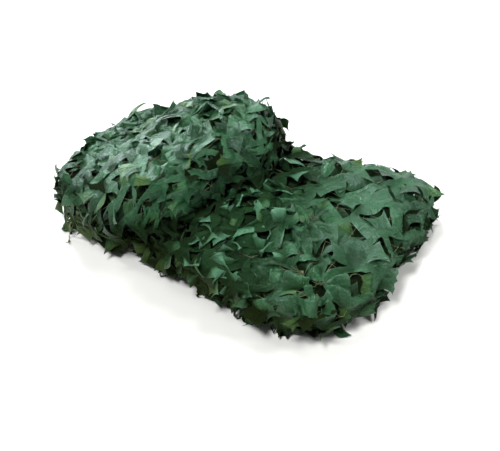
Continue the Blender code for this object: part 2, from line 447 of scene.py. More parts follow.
    def section(self, runs: tuple[Run, ...], first_fold: bool, last_fold: Run | None) -> SectionLine:
        """The section through several plies in turn.

        Args:
            runs: the plies, in the order that the cloth runs through them.
            first_fold: whether the first run only lends its fold.
            last_fold: the ply that the last fold leads to, where that fold belongs too.

        Returns:
            The whole stretch of section.
        """
        lines = []
        for index, run in enumerate(runs):
            if index or not first_fold:
                lines.append(self.run_line(run))
            if index + 1 < len(runs):
                lines.append(self.fold_line(run, runs[index + 1]))
        if last_fold is not None:
            lines.append(self.fold_line(runs[-1], last_fold))
        return SectionLine.joined(lines)

    def surface(self, line: SectionLine) -> Array:
        """The cloth's middle surface as a lattice of points.

        Args:
            line: the section that it follows.

        Returns:
            Rows along the section by columns across the cloth by x, y, z.
        """
        share = np.linspace(-1.0, 1.0, self.columns)[None, :]
        front, back, slab, stack = (a[:, None] for a in self.outline(line.x))
        x, z = line.x[:, None], line.z[:, None]
        lobe, edge = line.lobe[:, None], line.edge_rise[:, None]
        corner = blend(self.slab_corner, self.lobe_corner, ease(0.0, self.corner_change, z - slab))
        along = np.abs(share) * (1.0 + self.side_share)
        flat = np.minimum(along, 1.0)
        rise = 1.0 - np.maximum(along - 1.0, 0.0) / self.side_share * (1.0 - edge)
        size = (flat**corner + rise**corner) ** (1.0 / corner)
        across, rise = np.copysign(flat / size, share), rise / size

        base = np.where(lobe, blend(CLOTH / 2, slab, ease(*self.lift_span, x)), CLOTH / 2)
        height = base + (z - base) * rise
        in_stack = np.where(lobe, (stack - z) / (stack - slab) * self.inset_share, 1.0 - z / slab)
        inset = self.ply_inset * blend(1.0 - z / stack, in_stack, ease(*self.inset_span, x))
        taper = np.where(lobe, self.lobe_taper * ease(*self.taper_span, x), 0.0)
        half = (back - front) / 2 - inset - taper

        right = np.where(across < 0, *self.right_bows) * ease(*self.right_span, x)
        right = np.where(lobe, self.lobe_bow * ease(*self.bow_span, x), right)
        left = np.where(across < 0, *self.left_bows) * (1.0 - ease(*self.left_span, x))
        drawn = x + (left - right) * np.abs(across) ** self.bow_power
        places = np.stack(np.broadcast_arrays(drawn, (front + back) / 2 + across * half, height), -1)

        flat_places = places.reshape(-1, 3)
        drift = self.swell * ease(0.0, 0.06, flat_places[:, 2] - CLOTH / 2)
        for axis, offset in enumerate(((3.1, 0.0, 0.0), (0.0, 7.4, 0.0), (0.0, 0.0, 5.2))):
            shift = noise_from(flat_places / self.swell_pitch + np.array(offset))
            places[..., axis] += (drift * shift).reshape(drawn.shape)
        return places


@dataclass
class ClothLattice:
    """A folded surface that a flat cloth is laid on: metres along and across it give a place there.

    Attributes:
        places: rows along the cloth by columns across it by x, y, z.
    """

    places: Array

    def __post_init__(self) -> None:
        """Works out the cloth's own sizes, and the directions at each point."""
        rows, columns = self.places.shape[:2]
        spans = np.linalg.norm(np.diff(self.places, axis=1), axis=2)
        walked = np.concatenate((np.zeros((rows, 1)), np.cumsum(spans, axis=1)), axis=1)
        for row in range(rows):
            even = np.linspace(0.0, walked[row, -1], columns)
            line = self.places[row].copy()
            for axis in range(3):
                self.places[row, :, axis] = np.interp(even, walked[row], line[:, axis])
        middle = self.places[:, columns // 2]
        steps = np.linalg.norm(np.diff(middle, axis=0), axis=1)
        self.row_at = np.concatenate(([0.0], np.cumsum(steps)))
        self.length = float(self.row_at[-1])
        self.width = float(np.median(walked[:, -1]))
        along = np.gradient(self.places, axis=0)
        across = np.gradient(self.places, axis=1)
        along /= np.linalg.norm(along, axis=2, keepdims=True) + 1e-12
        across -= along * (along * across).sum(axis=2, keepdims=True)
        across /= np.linalg.norm(across, axis=2, keepdims=True) + 1e-12
        outward = np.cross(along, across)
        top = int(np.argmax(middle[:, 2]))
        if outward[top, columns // 2, 2] < 0:
            outward = -outward
        self.facts = np.concatenate((self.places, along, across, outward), axis=2)

    def at(self, u: Array, v: Array) -> tuple[Array, ...]:
        """The place and directions at points of the flat cloth.

        Args:
            u: metres along the cloth from its start.
            v: metres across the cloth from its middle.

        Returns:
            The places, and the unit directions along, across and outward there.
        """
        rows, columns = self.places.shape[:2]
        row = np.interp(u, self.row_at, np.arange(rows))
        asked = (v / self.width + 0.5) * (columns - 1)
        column = np.clip(asked, 0, columns - 1)
        past = (asked - column)[:, None] * self.width / (columns - 1)
        low_row = np.minimum(row.astype(int), rows - 2)
        low_column = np.minimum(column.astype(int), columns - 2)
        down, over = (row - low_row)[:, None], (column - low_column)[:, None]
        facts = blend(
            blend(self.facts[low_row, low_column], self.facts[low_row + 1, low_column], down),
            blend(self.facts[low_row, low_column + 1], self.facts[low_row + 1, low_column + 1], down),
            over,
        )
        return facts[:, :3] + facts[:, 6:9] * past, facts[:, 3:6], facts[:, 6:9], facts[:, 9:12]


# The die-cut cloth -------------------------------------------


@dataclass(frozen=True)
class Temper:
    """How restless a stretch of cloth lies, from calm to rough.

    Attributes:
        least_lift: least angle of its leaves, degrees.
        most_lift: most angle of its leaves, degrees.
        curl: how much a leaf bends along its length, degrees.
        yaw: how far a leaf swings aside, radians.
        twist: how far a leaf twists about its length, radians.
        room: how high a leaf may stand, metres.
        swell: size of the slow relief, metres.
        crease: height of the sharp creases, metres.
        slip: how far the cloth is pushed along itself, metres.
    """

    least_lift: float
    most_lift: float
    curl: float
    yaw: float
    twist: float
    room: float
    swell: float
    crease: float
    slip: float

    def toward(self, other: "Temper", share: Array) -> "Temper":
        """The temper between this one and another at each place, with an array in each field."""
        pairs = zip(astuple(self), astuple(other))
        return Temper(*(blend(mine, its, share) for mine, its in pairs))


@dataclass(frozen=True)
class DieCut:
    """One square repeat of the cut: a slit round three sides of a leaf, which stays joined at its hinge.

    Attributes:
        size: side of the repeat, metres.
        count: mesh rows and columns in a repeat.
        hinge_row: row of the hinge.
        tip_row: row of the leaf's free end.
        half_leaf: columns in half a leaf.
        neck: half width of a leaf at its hinge, as a share of the size.
        flare: half width at its free end.
        notch: how far the free end's corners reach past its middle, as a share of the size.
    """

    size: float = 0.080
    count: int = 12
    hinge_row: int = 2
    tip_row: int = 10
    half_leaf: int = 4
    neck: float = 0.23
    flare: float = 0.41
    notch: float = 0.10

    def up_leaf(self, row: Array) -> Array:
        """How far along its leaf each mesh row is, from 0 at the hinge to 1 at the free end."""
        return np.clip((row - self.hinge_row) / (self.tip_row - self.hinge_row), 0.0, 1.0)

    def across(self, row: Array, column: Array, girth: Array) -> Array:
        """How far each mesh point lies from the middle of its leaf, in metres.

        Args:
            row: mesh row in the repeat.
            column: mesh column from the leaf's middle.
            girth: each leaf's own share, from 0 for a slim one to 1 for a broad one.
        """
        even = self.half_leaf / self.count
        neck = self.neck * blend(0.75, 1.15, girth)
        flare = self.flare * blend(0.74, 1.06, girth)
        leaf = neck + (flare - neck) * self.up_leaf(row) ** 2.2
        shaped = ease(0, self.hinge_row, row) * (1.0 - ease(self.tip_row, self.count, row))
        half = self.size * blend(even, leaf, shaped)
        inner = column / self.half_leaf * half
        beyond = (np.abs(column) - self.half_leaf) / (self.count / 2 - self.half_leaf)
        outer = np.copysign(half + beyond * (self.size / 2 - half), column)
        return np.where(np.abs(column) <= self.half_leaf, inner, outer)

    def ahead(self, row: Array, column: Array, notch: Array, skew: Array) -> Array:
        """How far each mesh point lies from the start of its repeat, in metres.

        Args:
            row: mesh row in the repeat.
            column: mesh column from the leaf's middle.
            notch: how far the corners of each leaf's end reach past its middle.
            skew: how much further one corner reaches than the other.
        """
        beyond = (self.count - row) / (self.count - self.tip_row)
        near = np.where(row <= self.tip_row, self.up_leaf(row) ** 2, np.clip(beyond, 0.0, 1.0))
        share = np.clip(column / self.half_leaf, -1.0, 1.0)
        shape = notch * (share**2 - 0.45) + skew * share
        fade = 1.0 - ease(self.half_leaf, self.count / 2, np.abs(column))
        return self.size * (row / self.count + near * shape * fade)

    def is_slit(self, row: Array, column: Array) -> Array:
        """Whether a mesh edge is cut, from where its middle is."""
        at_end = (np.abs(row - self.tip_row) < 0.25) & (np.abs(column) < self.half_leaf)
        at_side = (np.abs(np.abs(column) - self.half_leaf) < 0.25) & (row > self.hinge_row)
        return at_end | (at_side & (row < self.tip_row))

    def in_leaf(self, row: Array, column: Array) -> Array:
        """Whether a mesh face belongs to the leaf, from where its middle is."""
        return (np.abs(column) < self.half_leaf) & (row > self.hinge_row) & (row < self.tip_row)


@dataclass(frozen=True)
class Patch:
    """Where a bunched-up stretch of cloth comes out between the others.

    Attributes:
        zone: the stretch, with ramps where it sinks under the rest at its edges.
        depth: how far it sinks there, metres.
        wobble: how uneven its edges are, metres.
    """

    zone: Zone
    depth: float = 0.016
    wobble: float = 0.02

    def share(self, places: Array) -> Array:
        """How far inside the patch each place is, from 0 at its edges to 1."""
        return self.zone.share(places + self.wobble * noise_at(places, 0.09, 8.8)[:, None])


@dataclass
class Repeats:
    """Which repeat of the cut each mesh point lies in, and where in it, along and across its leaf.

    Attributes:
        cell: number of the repeat.
        row: mesh rows along the leaf.
        column: mesh columns from the leaf's middle.
        ahead: the leaf's direction in the flat cloth, as rows and columns.
        middle: the repeat's middle in the flat cloth, metres.
    """

    cell: Array
    row: Array
    column: Array
    ahead: Array
    middle: Array

    def only(self, which: Array) -> "Repeats":
        """The same for some of the points."""
        parts = (self.cell, self.row, self.column, self.ahead, self.middle)
        return Repeats(*(part[which] for part in parts))

    def laid(self, ahead: Array, aside: Array) -> Array:
        """Where points of the leaf's own frame lie in the flat cloth, metres."""
        sideways = np.column_stack((-self.ahead[:, 1], self.ahead[:, 0]))
        return self.middle + self.ahead * ahead[:, None] + sideways * aside[:, None]


@dataclass(frozen=True)
class Pinch:
    """A place where a tie draws the cloth together.

    Attributes:
        node: the tie's node.
        reach: how far its creases run, metres.
        creases: how many run out from it.
        depth: their height, metres.
    """

    node: str
    reach: float
    creases: int
    depth: float

    def place(self) -> tuple[Array, float]:
        """The tie's middle seen from above, and the height of its underside."""
        low, high = box_of(self.node)
        return (low + high)[:2] / 2, float(low[2])

    def relief(self, places: Array) -> tuple[Array, Array]:
        """The creases' height at each place, and how much of the other relief stays there."""
        middle, bottom = self.place()
        from_tie = places[:, :2] - middle
        distance = np.hypot(*from_tie.T)
        angle = np.arctan2(from_tie[:, 1], from_tie[:, 0])
        near = distance / self.reach
        wander = 1.3 * noise_at(places, 0.05, 6.6)
        height = self.depth * np.sin(self.creases * angle + wander) * near * np.exp(1.0 - near)
        on_top = np.abs(places[:, 2] - bottom) < 0.022
        stays = 1.0 - 0.85 * np.exp(-((distance / self.reach) ** 2))
        return np.where(on_top, height, 0.0), np.where(on_top, stays, 1.0)

    def press(self, places: Array) -> None:
        """Holds the cloth under the tie."""
        middle, bottom = self.place()
        distance = from_above(places, middle)
        ceiling = bottom - 0.0008 + np.maximum(distance - 0.008, 0.0) * 0.9
        near = (distance < 0.03) & (places[:, 2] > bottom - 0.03)
        places[:, 2] = np.where(near, np.minimum(places[:, 2], ceiling), places[:, 2])


PINCHES = (
    Pinch("tie_knot_corner", 0.046, 8, 0.0085),
    Pinch("tie_knot_middle", 0.028, 7, 0.0050),
)

WAYS = np.array(((1.0, 0.0), (-1.0, 0.0), (0.0, 1.0), (0.0, -1.0)))

# How ruffled the cloth lies
ON_STACK = Zone(z=((0.105, 0.135),))
RUFFLED_LOBE = Zone(x=((0.05, -0.25),), y=((-0.20, 0.10),))
SIDES = Zone(z=((0.095, 0.05),))
LOBE_ROUGH, SLAB_ROUGH, SIDES_ROUGH = 0.40, 0.10, 0.85

# How far the cloth lies inside the solid's surface, metres, and where
LOW_SIDES = Zone(z=((0.095, 0.055),))
LOW_DRAW = 0.008
DRAWN_IN = (
    (0.011, Zone(z=((0.115, 0.15),))),
    (0.008, Zone(x=((0.29, 0.34),))),
    (0.010, Zone(x=((-0.19, -0.10),), y=((0.09, 0.17),), z=((0.10, 0.13),))),
    (0.010, Zone(x=((-0.24, -0.30),), y=((0.11, 0.02),), z=((0.10, 0.13),))),
    (-0.008, Zone(x=((-0.28, -0.24), (-0.13, -0.19)), y=((0.04, 0.08),), z=((0.15, 0.18),))),
)
FRONT_HEM = Zone(x=((-0.19, -0.05), (0.34, 0.24)), y=((-0.10, -0.24),), z=((0.095, 0.040),))
HEM_SHIFT = 0.022
LOBE_END = Zone(x=((-0.12, 0.03),), y=((0.06, -0.08),), z=((0.104, 0.114),))
LOBE_SHIFT = 0.036

# How dark it is under the lobe, where no light reaches
LOBE_SHADE = (
    (0.60, Zone(x=((-0.06, 0.00),), z=((0.175, 0.140),))),
    (0.90, Zone(x=((-0.20, -0.10),), z=((0.150, 0.115),))),
)
SLAB_SHADE = (
    (0.98, Zone(x=((0.000, -0.030), (-0.22, -0.14)), z=((0.035, 0.055),))),
    (0.45, Zone(x=((0.10, -0.06),), z=((0.050, 0.020),))),
)
ON_TOP = Zone(z=((0.060, 0.085),))

# The fine pleats over the right end's fold
PLEATED = Zone(x=((0.29, 0.33),), y=((-0.20, -0.10),), z=((0.02, 0.045),))
PLEAT_PITCH, PLEAT_HEIGHT = 0.0105, 0.0016

QUIET_REACH = (0.075, 0.035)  # how far from the loose string leaves lie flat, from where to where
WANDER_PITCH, JOG_PITCH = 0.13, 0.045  # lengths of the cloth's slow and quick shifts along itself
SWELL_PITCH, CREASE_PITCH, FINE_PITCH = 0.085, 0.055, 0.026  # lengths of its relief
HOLE_SIZE, HOLE_DEPTH = 0.030, 0.015  # how wide and deep the cloth sinks under a gap, metres
CUP, FOLD = (0.010, 0.022), (0.018, 0.034)  # how hollow and how bent leaves are, calm and rough, metres
BEND_STEPS = 8


class Deal(IntEnum):
    """Which of a leaf's own numbers sets what."""

    NOTCH = 0
    OPENED = 1
    TONE = 2
    LIFT = 3
    TUCKED = 4
    CURL = 5
    YAW = 6
    TWIST = 7
    GIRTH = 8
    CUP = 9
    FOLD = 10
    SKEW = 11


@dataclass
class Placed:
    """Points of a ply laid in the folds, and the values that colour them.

    Attributes:
        places: the points.
        flat: where they lie in the flat cloth, metres.
        tone: each leaf's own tone, from 0 to 1, raised in the bunched patches as painted light.
        tip: how far along a leaf, from 0 to 1.
        side: how far from a leaf's middle, from -1 to 1.
        depth: painted shade and light, from 1 for painted shade deep in the bundle to about -1.5 for painted
            light where a tip stands in the light.
    """

    places: Array
    flat: Array
    tone: Array
    tip: Array
    side: Array
    depth: Array

    def keep_in_box(self) -> None:
        """Holds stray tips under the ties, above the surface and near the solid's own box."""
        for pinch in PINCHES:
            pinch.press(self.places)
        low, high = box_of("netting")
        soft = np.array((0.020, 0.018, 0.007))
        over = np.maximum(self.places - high - (0.004, 0.004, -0.001), 0.0)
        under = np.maximum(low - 0.004 - self.places, 0.0)
        self.places -= over - soft * (1.0 - np.exp(-over / soft))
        self.places += under - soft * (1.0 - np.exp(-under / soft))
        rest = self.places[:, 2]
        squeezed = 0.012 * np.exp(np.minimum(rest / 0.012 - 1.0, 0.0))
        self.places[:, 2] = np.maximum(np.where(rest < 0.012, squeezed, rest), FLOOR_ROOM)


@dataclass
class DieCutPly:
    """A ply of the die-cut cloth, laid in the folds.

    Every ply takes the same path from the flat cloth to its place (`web`), so that the shifts that give
    the bundle its outline keep the plies in their order.

    Attributes:
        name: the piece's name.
        lattice: the folded surface that it lies on.
        cut: the repeat of its cut.
        turn: angle of the cut to the cloth's length, degrees.
        offset: height over the folded surface, metres.
        calm: its temper where the bundle lies flat.
        rough: its temper where the bundle is most ruffled.
        opened: how far the slits stand open, least and most, metres.
        tucked: share of leaves that turn inward.
        sunk: how much painted shade it takes for lying in the bundle's dark, from 0 to 1.
        seed: picks its own unevenness.
        holes: places on the slab, seen from above, where a leaf is tucked in and a gap stands open.
        patch: the stretch that it covers, where that isn't all of it.
    """

    name: str
    lattice: ClothLattice
    cut: DieCut
    turn: float
    offset: float
    calm: Temper
    rough: Temper
    opened: Pair
    tucked: float
    sunk: float
    seed: int
    holes: tuple[Pair, ...] = ()
    patch: Patch | None = None

    def __post_init__(self) -> None:
        """Counts the repeats that cover the cloth and deals each its own numbers."""
        turn = math.radians(self.turn)
        length, width = self.lattice.length, self.lattice.width
        reach = abs(length * math.cos(turn)) + abs(width * math.sin(turn))
        breadth = abs(length * math.sin(turn)) + abs(width * math.cos(turn))
        self.repeats = math.ceil(reach / self.cut.size) + 1
        self.lanes = math.ceil(breadth / self.cut.size) + 1
        dice = np.random.default_rng(self.seed)
        cells = (self.repeats + 2) * (self.lanes + 2)
        self.ways = dice.integers(0, 4, cells)
        self.dealt = dice.random((cells, len(Deal)))
        if self.holes:
            self.open_holes()

    def open_holes(self) -> None:
        """Tucks in the leaf that lies nearest to each hole."""
        count = self.cut.count
        row, column = np.meshgrid(np.arange(self.repeats), np.arange(self.lanes), indexing="ij")
        points = np.column_stack((row.ravel() + 0.5, column.ravel() + 0.5)) * count
        points[:, 1] += count // 2 * (row.ravel() % 2)
        where = self.repeats_at(points)
        u, v, _ = self.slipped(where.middle)
        places = self.lattice.at(u, v)[0]
        for hole in self.holes:
            own = self.dealt[where.cell[nearest_on_top(places, hole)]]
            own[[Deal.LIFT, Deal.TUCKED, Deal.CURL]] = 1.0, 0.0, 0.2

    def repeats_at(self, points: Array) -> Repeats:
        """Which repeat each mesh point lies in.

        Args:
            points: rows and columns of the mesh, fractions allowed.
        """
        count, size = self.cut.count, self.cut.size
        repeat = np.floor((points[:, 0] - 1e-4) / count).astype(int)
        stagger = count // 2 * (repeat % 2)
        lane = np.floor((points[:, 1] - stagger - 1e-4) / count).astype(int)
        cell = (repeat + 1) * (self.lanes + 2) + lane + 1
        centre = np.column_stack(((repeat + 0.5) * count, (lane + 0.5) * count + stagger))
        ahead = WAYS[self.ways[cell]]
        from_centre = points - centre
        row = (from_centre * ahead).sum(axis=1) + count / 2
        column = from_centre[:, 1] * ahead[:, 0] - from_centre[:, 0] * ahead[:, 1]
        whole = np.array((self.repeats, self.lanes)) * count / 2
        return Repeats(cell, row, column, ahead, (centre - whole) * size / count)

    def flat_grid(self) -> bpy.types.Mesh:
        """The flat cloth with its slits cut, as a mesh whose points count its rows and columns."""
        rows, columns = self.repeats * self.cut.count, self.lanes * self.cut.count
        bm = bmesh.new()
        bmesh.ops.create_grid(bm, x_segments=rows, y_segments=columns, size=0.5)
        bmesh.ops.scale(bm, vec=(rows, columns, 1.0), verts=bm.verts)
        bmesh.ops.translate(bm, vec=(rows / 2, columns / 2, 0.0), verts=bm.verts)

        centres = np.array([face.calc_center_median()[:2] for face in bm.faces])
        u, v = self.on_lattice(self.repeats_at(centres).middle)
        margin = 0.10 * self.cut.size
        outside = (np.abs(v) > self.lattice.width / 2 + margin) | (u < -margin)
        outside |= u > self.lattice.length + margin
        if self.patch is not None:
            outside |= self.patch.share(self.lattice.at(u, v)[0]) < 0.02
        cell = self.cut.size / self.cut.count
        spread = [np.ptp(line[~outside]) + 2 * cell for line in self.on_lattice(centres * cell)]
        self.flat_size = (float(spread[1]), float(spread[0]))
        self.flat_area = float((~outside).sum()) * cell**2
        doomed = [face for face, gone in zip(list(bm.faces), outside) if gone]
        bmesh.ops.delete(bm, geom=doomed, context="FACES")

        edges = list(bm.edges)
        middles = np.array([(edge.verts[0].co + edge.verts[1].co)[:2] for edge in edges]) / 2
        where = self.repeats_at(middles)
        cut = self.cut.is_slit(where.row, where.column)
        bmesh.ops.split_edges(bm, edges=[edge for edge, slit in zip(edges, cut) if slit])
        mesh = bpy.data.meshes.new(self.name)
        bm.to_mesh(mesh)
        bm.free()
        return mesh

    def on_lattice(self, flat: Array) -> tuple[Array, Array]:
        """Metres along and across the folded surface, from metres in the flat cloth."""
        u, v = turned(flat, self.turn)
        return u + self.lattice.length / 2, v

    def roughness(self, places: Array) -> Array:
        """How ruffled the bundle lies at each place, from 0 to 1."""
        lobe = blend(LOBE_ROUGH, 1.0, RUFFLED_LOBE.share(places))
        slab = blend(SLAB_ROUGH, 1.0, ease(0.24, 0.06, places[:, 0] + 0.25 * places[:, 1]))
        sides = SIDES_ROUGH * SIDES.share(places)
        rough = np.clip(np.maximum(blend(slab, lobe, ON_STACK.share(places)), sides), 0.0, 1.0)
        return rough * (1.0 - 0.9 * self.quiet(places))

    def quiet(self, places: Array) -> Array:
        """How close each place is to the loose end of string, from 0 to 1, where leaves lie flat."""
        distance = np.linalg.norm(places - STRING_CORNER, axis=1)
        return ease(*QUIET_REACH, distance)

    def temper(self, rough: Array) -> Temper:
        """The cloth's temper where it lies as rough as that."""
        return self.calm.toward(self.rough, rough)

    def slipped(self, flat: Array) -> tuple[Array, Array, Array]:
        """Where the cloth lies on the folded surface, pushed along itself, and how rough it lies."""
        u, v = self.on_lattice(flat)
        rough = self.roughness(self.lattice.at(u, v)[0])
        spot = np.stack((u, v, np.full_like(u, float(self.seed))), axis=1)
        push = self.temper(rough).slip
        wander = [noise_at(spot, WANDER_PITCH, self.seed + shift) for shift in (0.1, 4.6)]
        jog = [noise_at(spot, JOG_PITCH, self.seed + shift) for shift in (7.3, 9.8)]
        share = blend(0.25, 0.50, rough)
        return u + push * (wander[0] + share * jog[0]), v + push * (wander[1] + share * jog[1]), rough

    def web(self, flat: Array, sink: float = 0.0) -> tuple[Array, Array, Array]:
        """Where points of the flat cloth lie in the folds, with its relief.

        Args:
            flat: metres in the flat cloth.
            sink: how far below the cloth, metres.

        Returns:
            The places, how rough the cloth lies there, and its height over the folded surface.
        """
        u, v, rough = self.slipped(flat)
        form, _, _, outward = self.lattice.at(u, v)
        spot = np.column_stack((u, v, np.full_like(u, self.seed * 2.0)))
        temper = self.temper(rough)
        crease = ridges_at(spot, CREASE_PITCH, self.seed + 5.9) - 0.45
        fine = ridges_at(spot, FINE_PITCH, self.seed + 8.1) - 0.45
        relief = temper.swell * noise_at(spot, SWELL_PITCH, self.seed + 2.2)
        relief = relief + temper.crease * (crease + 0.45 * fine)
        for pinch in PINCHES:
            height, stays = pinch.relief(form)
            relief = relief * stays + height
        lift = self.offset + relief + self.pleats(form)
        if self.patch is not None:
            lift = lift - self.patch.depth * (1.0 - self.patch.share(form))
        if self.offset < 0.0:
            lift = lift - HOLE_DEPTH * self.under_holes(form)
        drawn_in = LOW_DRAW * np.maximum(self.quiet(form), LOW_SIDES.share(form))
        drawn_in = drawn_in + sum(depth * zone.share(form) for depth, zone in DRAWN_IN)
        places = form + outward * (lift - sink - drawn_in)[:, None]
        places[:, 1] += HEM_SHIFT * FRONT_HEM.share(form)
        if not self.name.startswith("slab"):
            places[:, 0] -= LOBE_SHIFT * LOBE_END.share(form)
        return places, rough, lift

    def overhung(self, places: Array) -> Array:
        """How far each place lies in the dark crease under the lobe, from 0 to 1."""
        shades = LOBE_SHADE if self.name.startswith("lobe") else SLAB_SHADE
        return np.maximum(*(darkness * zone.share(places) for darkness, zone in shades))

    def under_holes(self, places: Array) -> Array:
        """How close each place on top of the slab is to the middle of a hole, from 0 to 1."""
        near = np.zeros(len(places))
        for hole in self.holes:
            near += np.exp(-((from_above(places, hole) / HOLE_SIZE) ** 2))
        return np.minimum(near, 1.0) * (places[:, 2] > 0.06)

    def pleats(self, places: Array) -> Array:
        """The fine pleats that run over the fold at the right end."""
        wander = 0.004 * noise_at(places, 0.05, 3.9)
        phase = (places[:, 1] + 0.5 * places[:, 2] + wander) / PLEAT_PITCH
        return PLEAT_HEIGHT * PLEATED.share(places) * np.sin(2.0 * math.pi * phase)

    def place_points(self, points: Array, leaf: Array) -> Placed:
        """Lays every mesh point of the cut cloth in the folds and bends the leaves out of it.

        Args:
            points: row and column of each mesh point.
            leaf: whether a point belongs to a leaf alone.

        Returns:
            The points' places and the values that colour them.
        """
        cut, where = self.cut, self.repeats_at(points)
        mine = self.dealt[where.cell]
        row, column = where.row, where.column
        notch = cut.notch * blend(-0.4, 2.1, mine[:, Deal.NOTCH] ** 0.7)
        aside = cut.across(row, column, mine[:, Deal.GIRTH])
        ahead = cut.ahead(row, column, notch, 0.15 * (mine[:, Deal.SKEW] - 0.5))

        # The slit stands open round the leaf, because the cloth beyond it draws back
        opened = np.where(leaf, 0.0, blend(*self.opened, mine[:, Deal.OPENED]))
        fade = 1.0 - ease(cut.half_leaf, cut.count / 2, np.abs(column))
        past_end = np.clip((cut.count - row) / (cut.count - cut.tip_row), 0.0, 1.0) * (row >= cut.tip_row)
        beside = cut.up_leaf(row) * (1.0 - ease(cut.tip_row, cut.count, row))
        outside = (np.abs(column) >= cut.half_leaf) & (row > cut.hinge_row)
        ahead = ahead + opened * past_end * fade
        aside = aside + np.where(outside, np.sign(column) * opened * 0.45 * beside * fade, 0.0)

        flat = where.laid(ahead - cut.size / 2, aside)
        places, rough, lift = self.web(flat)
        tip = np.where(leaf, cut.up_leaf(row), 0.0)
        # Painted shade and light: cloth under the outer surface, under the lobe and at the roots of ruffled
        # leaves is painted dark, and ruffled tips on top of the slab are painted light
        depth = np.maximum(ease(0.002, -0.010, lift) * (1.0 - 0.8 * tip), self.sunk)
        overhung = self.overhung(places)
        depth = np.maximum(depth, overhung * (1.0 - 0.18 * tip))
        ruffled = ease(0.35, 0.90, rough) * (1.0 - self.quiet(places))
        root_shade, tip_light = (0.74, 1.5) if self.name.startswith("slab") else (0.45, 0.0)
        depth = np.maximum(depth, root_shade * ruffled * (1.0 - tip))
        depth = depth - tip_light * tip * ruffled * (1.0 - overhung) * ON_TOP.share(places)
        if leaf.any():
            places[leaf] = self.bend_leaves(where.only(leaf), ahead[leaf], aside[leaf], mine[leaf])
        tone = np.where(leaf, mine[:, Deal.TONE], 0.45 + 0.5 * noise_at(places, 0.06, self.seed + 3.3))
        # Painted light: leaves in the bunched patches are made paler
        if self.patch is not None:
            tone = blend(0.38, 1.0, tone)
        at_leaf = leaf | ((row == cut.hinge_row) & (np.abs(column) <= cut.half_leaf))
        side = np.where(at_leaf, column / cut.half_leaf, 0.0)
        return Placed(places, flat, tone, tip, side, depth)

    def bend_leaves(self, where: Repeats, ahead: Array, aside: Array, mine: Array) -> Array:
        """Bends the leaves out of the cloth about their hinges.

        Args:
            where: the repeats that the points lie in.
            ahead: metres from the repeat's start along the leaf.
            aside: metres from the leaf's middle.
            mine: the numbers from 0 to 1 that each leaf was dealt.

        Returns:
            The points' places.
        """
        cut = self.cut
        hinge = cut.hinge_row / cut.count * cut.size
        at_hinge = np.full_like(ahead, float(cut.hinge_row))
        hinge_aside = cut.across(at_hinge, where.column, mine[:, Deal.GIRTH])
        hinge_ahead = np.full_like(ahead, hinge - cut.size / 2)
        rooted, rough, _ = self.web(where.laid(hinge_ahead, hinge_aside))
        u, v, _ = self.slipped(where.laid(hinge_ahead, np.zeros_like(ahead)))
        _, along, across, outward = self.lattice.at(u, v)
        first, second = (part[:, None] for part in turned(where.ahead, self.turn))
        forward = along * first + across * second
        sideways = across * first - along * second

        length = (cut.tip_row - cut.hinge_row) / cut.count * cut.size
        reach = np.maximum(ahead - hinge, 0.0)
        share = reach / length
        side = where.column / cut.half_leaf

        temper = self.temper(rough)
        settled = 1.0 - 0.7 * ease(0.050, 0.020, rooted[:, 2])
        lift = np.radians(blend(temper.least_lift, temper.most_lift, mine[:, Deal.LIFT] ** 1.6))
        lift = np.where(mine[:, Deal.TUCKED] < self.tucked, -0.7 * lift, lift)
        lift = lift * (1.0 - self.quiet(rooted)) * settled
        curl = np.radians(temper.curl) * (1.7 * mine[:, Deal.CURL] - 1.15) * settled
        hook = np.radians(temper.curl) * (1.6 * mine[:, Deal.NOTCH] - 0.9) * settled
        out, up = np.zeros_like(reach), np.zeros_like(reach)
        for step in range(BEND_STEPS):
            near = share * (step + 0.5) / BEND_STEPS
            angle = lift + curl * near + hook * near**3
            out += np.cos(angle) * reach / BEND_STEPS
            up += np.sin(angle) * reach / BEND_STEPS

        yaw = (mine[:, Deal.YAW] - 0.5) * 2.0 * temper.yaw * share
        twist = (mine[:, Deal.TWIST] - 0.5) * 2.0 * temper.twist * share
        spread = aside - hinge_aside
        out, spread = out * np.cos(yaw) - spread * np.sin(yaw), spread * np.cos(yaw) + out * np.sin(yaw)
        up = up + np.abs(aside) * np.sin(twist) * side
        cup = (mine[:, Deal.CUP] - 0.35) * blend(*CUP, rough)
        fold = (mine[:, Deal.FOLD] - 0.5) * blend(*FOLD, rough)
        ridge = np.abs(side - 1.6 * (mine[:, Deal.OPENED] - 0.5))
        up = up + cup * share * (side**2 - 0.3) + fold * share * (0.5 - ridge)
        up = up + 0.002 * share * noise_at(rooted + outward * reach[:, None], 0.022, self.seed + 6.4)
        up = np.where(up > 0, temper.room * (1.0 - np.exp(-up / temper.room)), up)
        up = up * (1.0 - 0.9 * self.quiet(rooted))
        laid = rooted + forward * out[:, None] + sideways * spread[:, None]
        for pinch in PINCHES:
            height, stays = pinch.relief(laid)
            up = up * stays + height - pinch.relief(rooted)[0]
        return laid + outward * up[:, None]

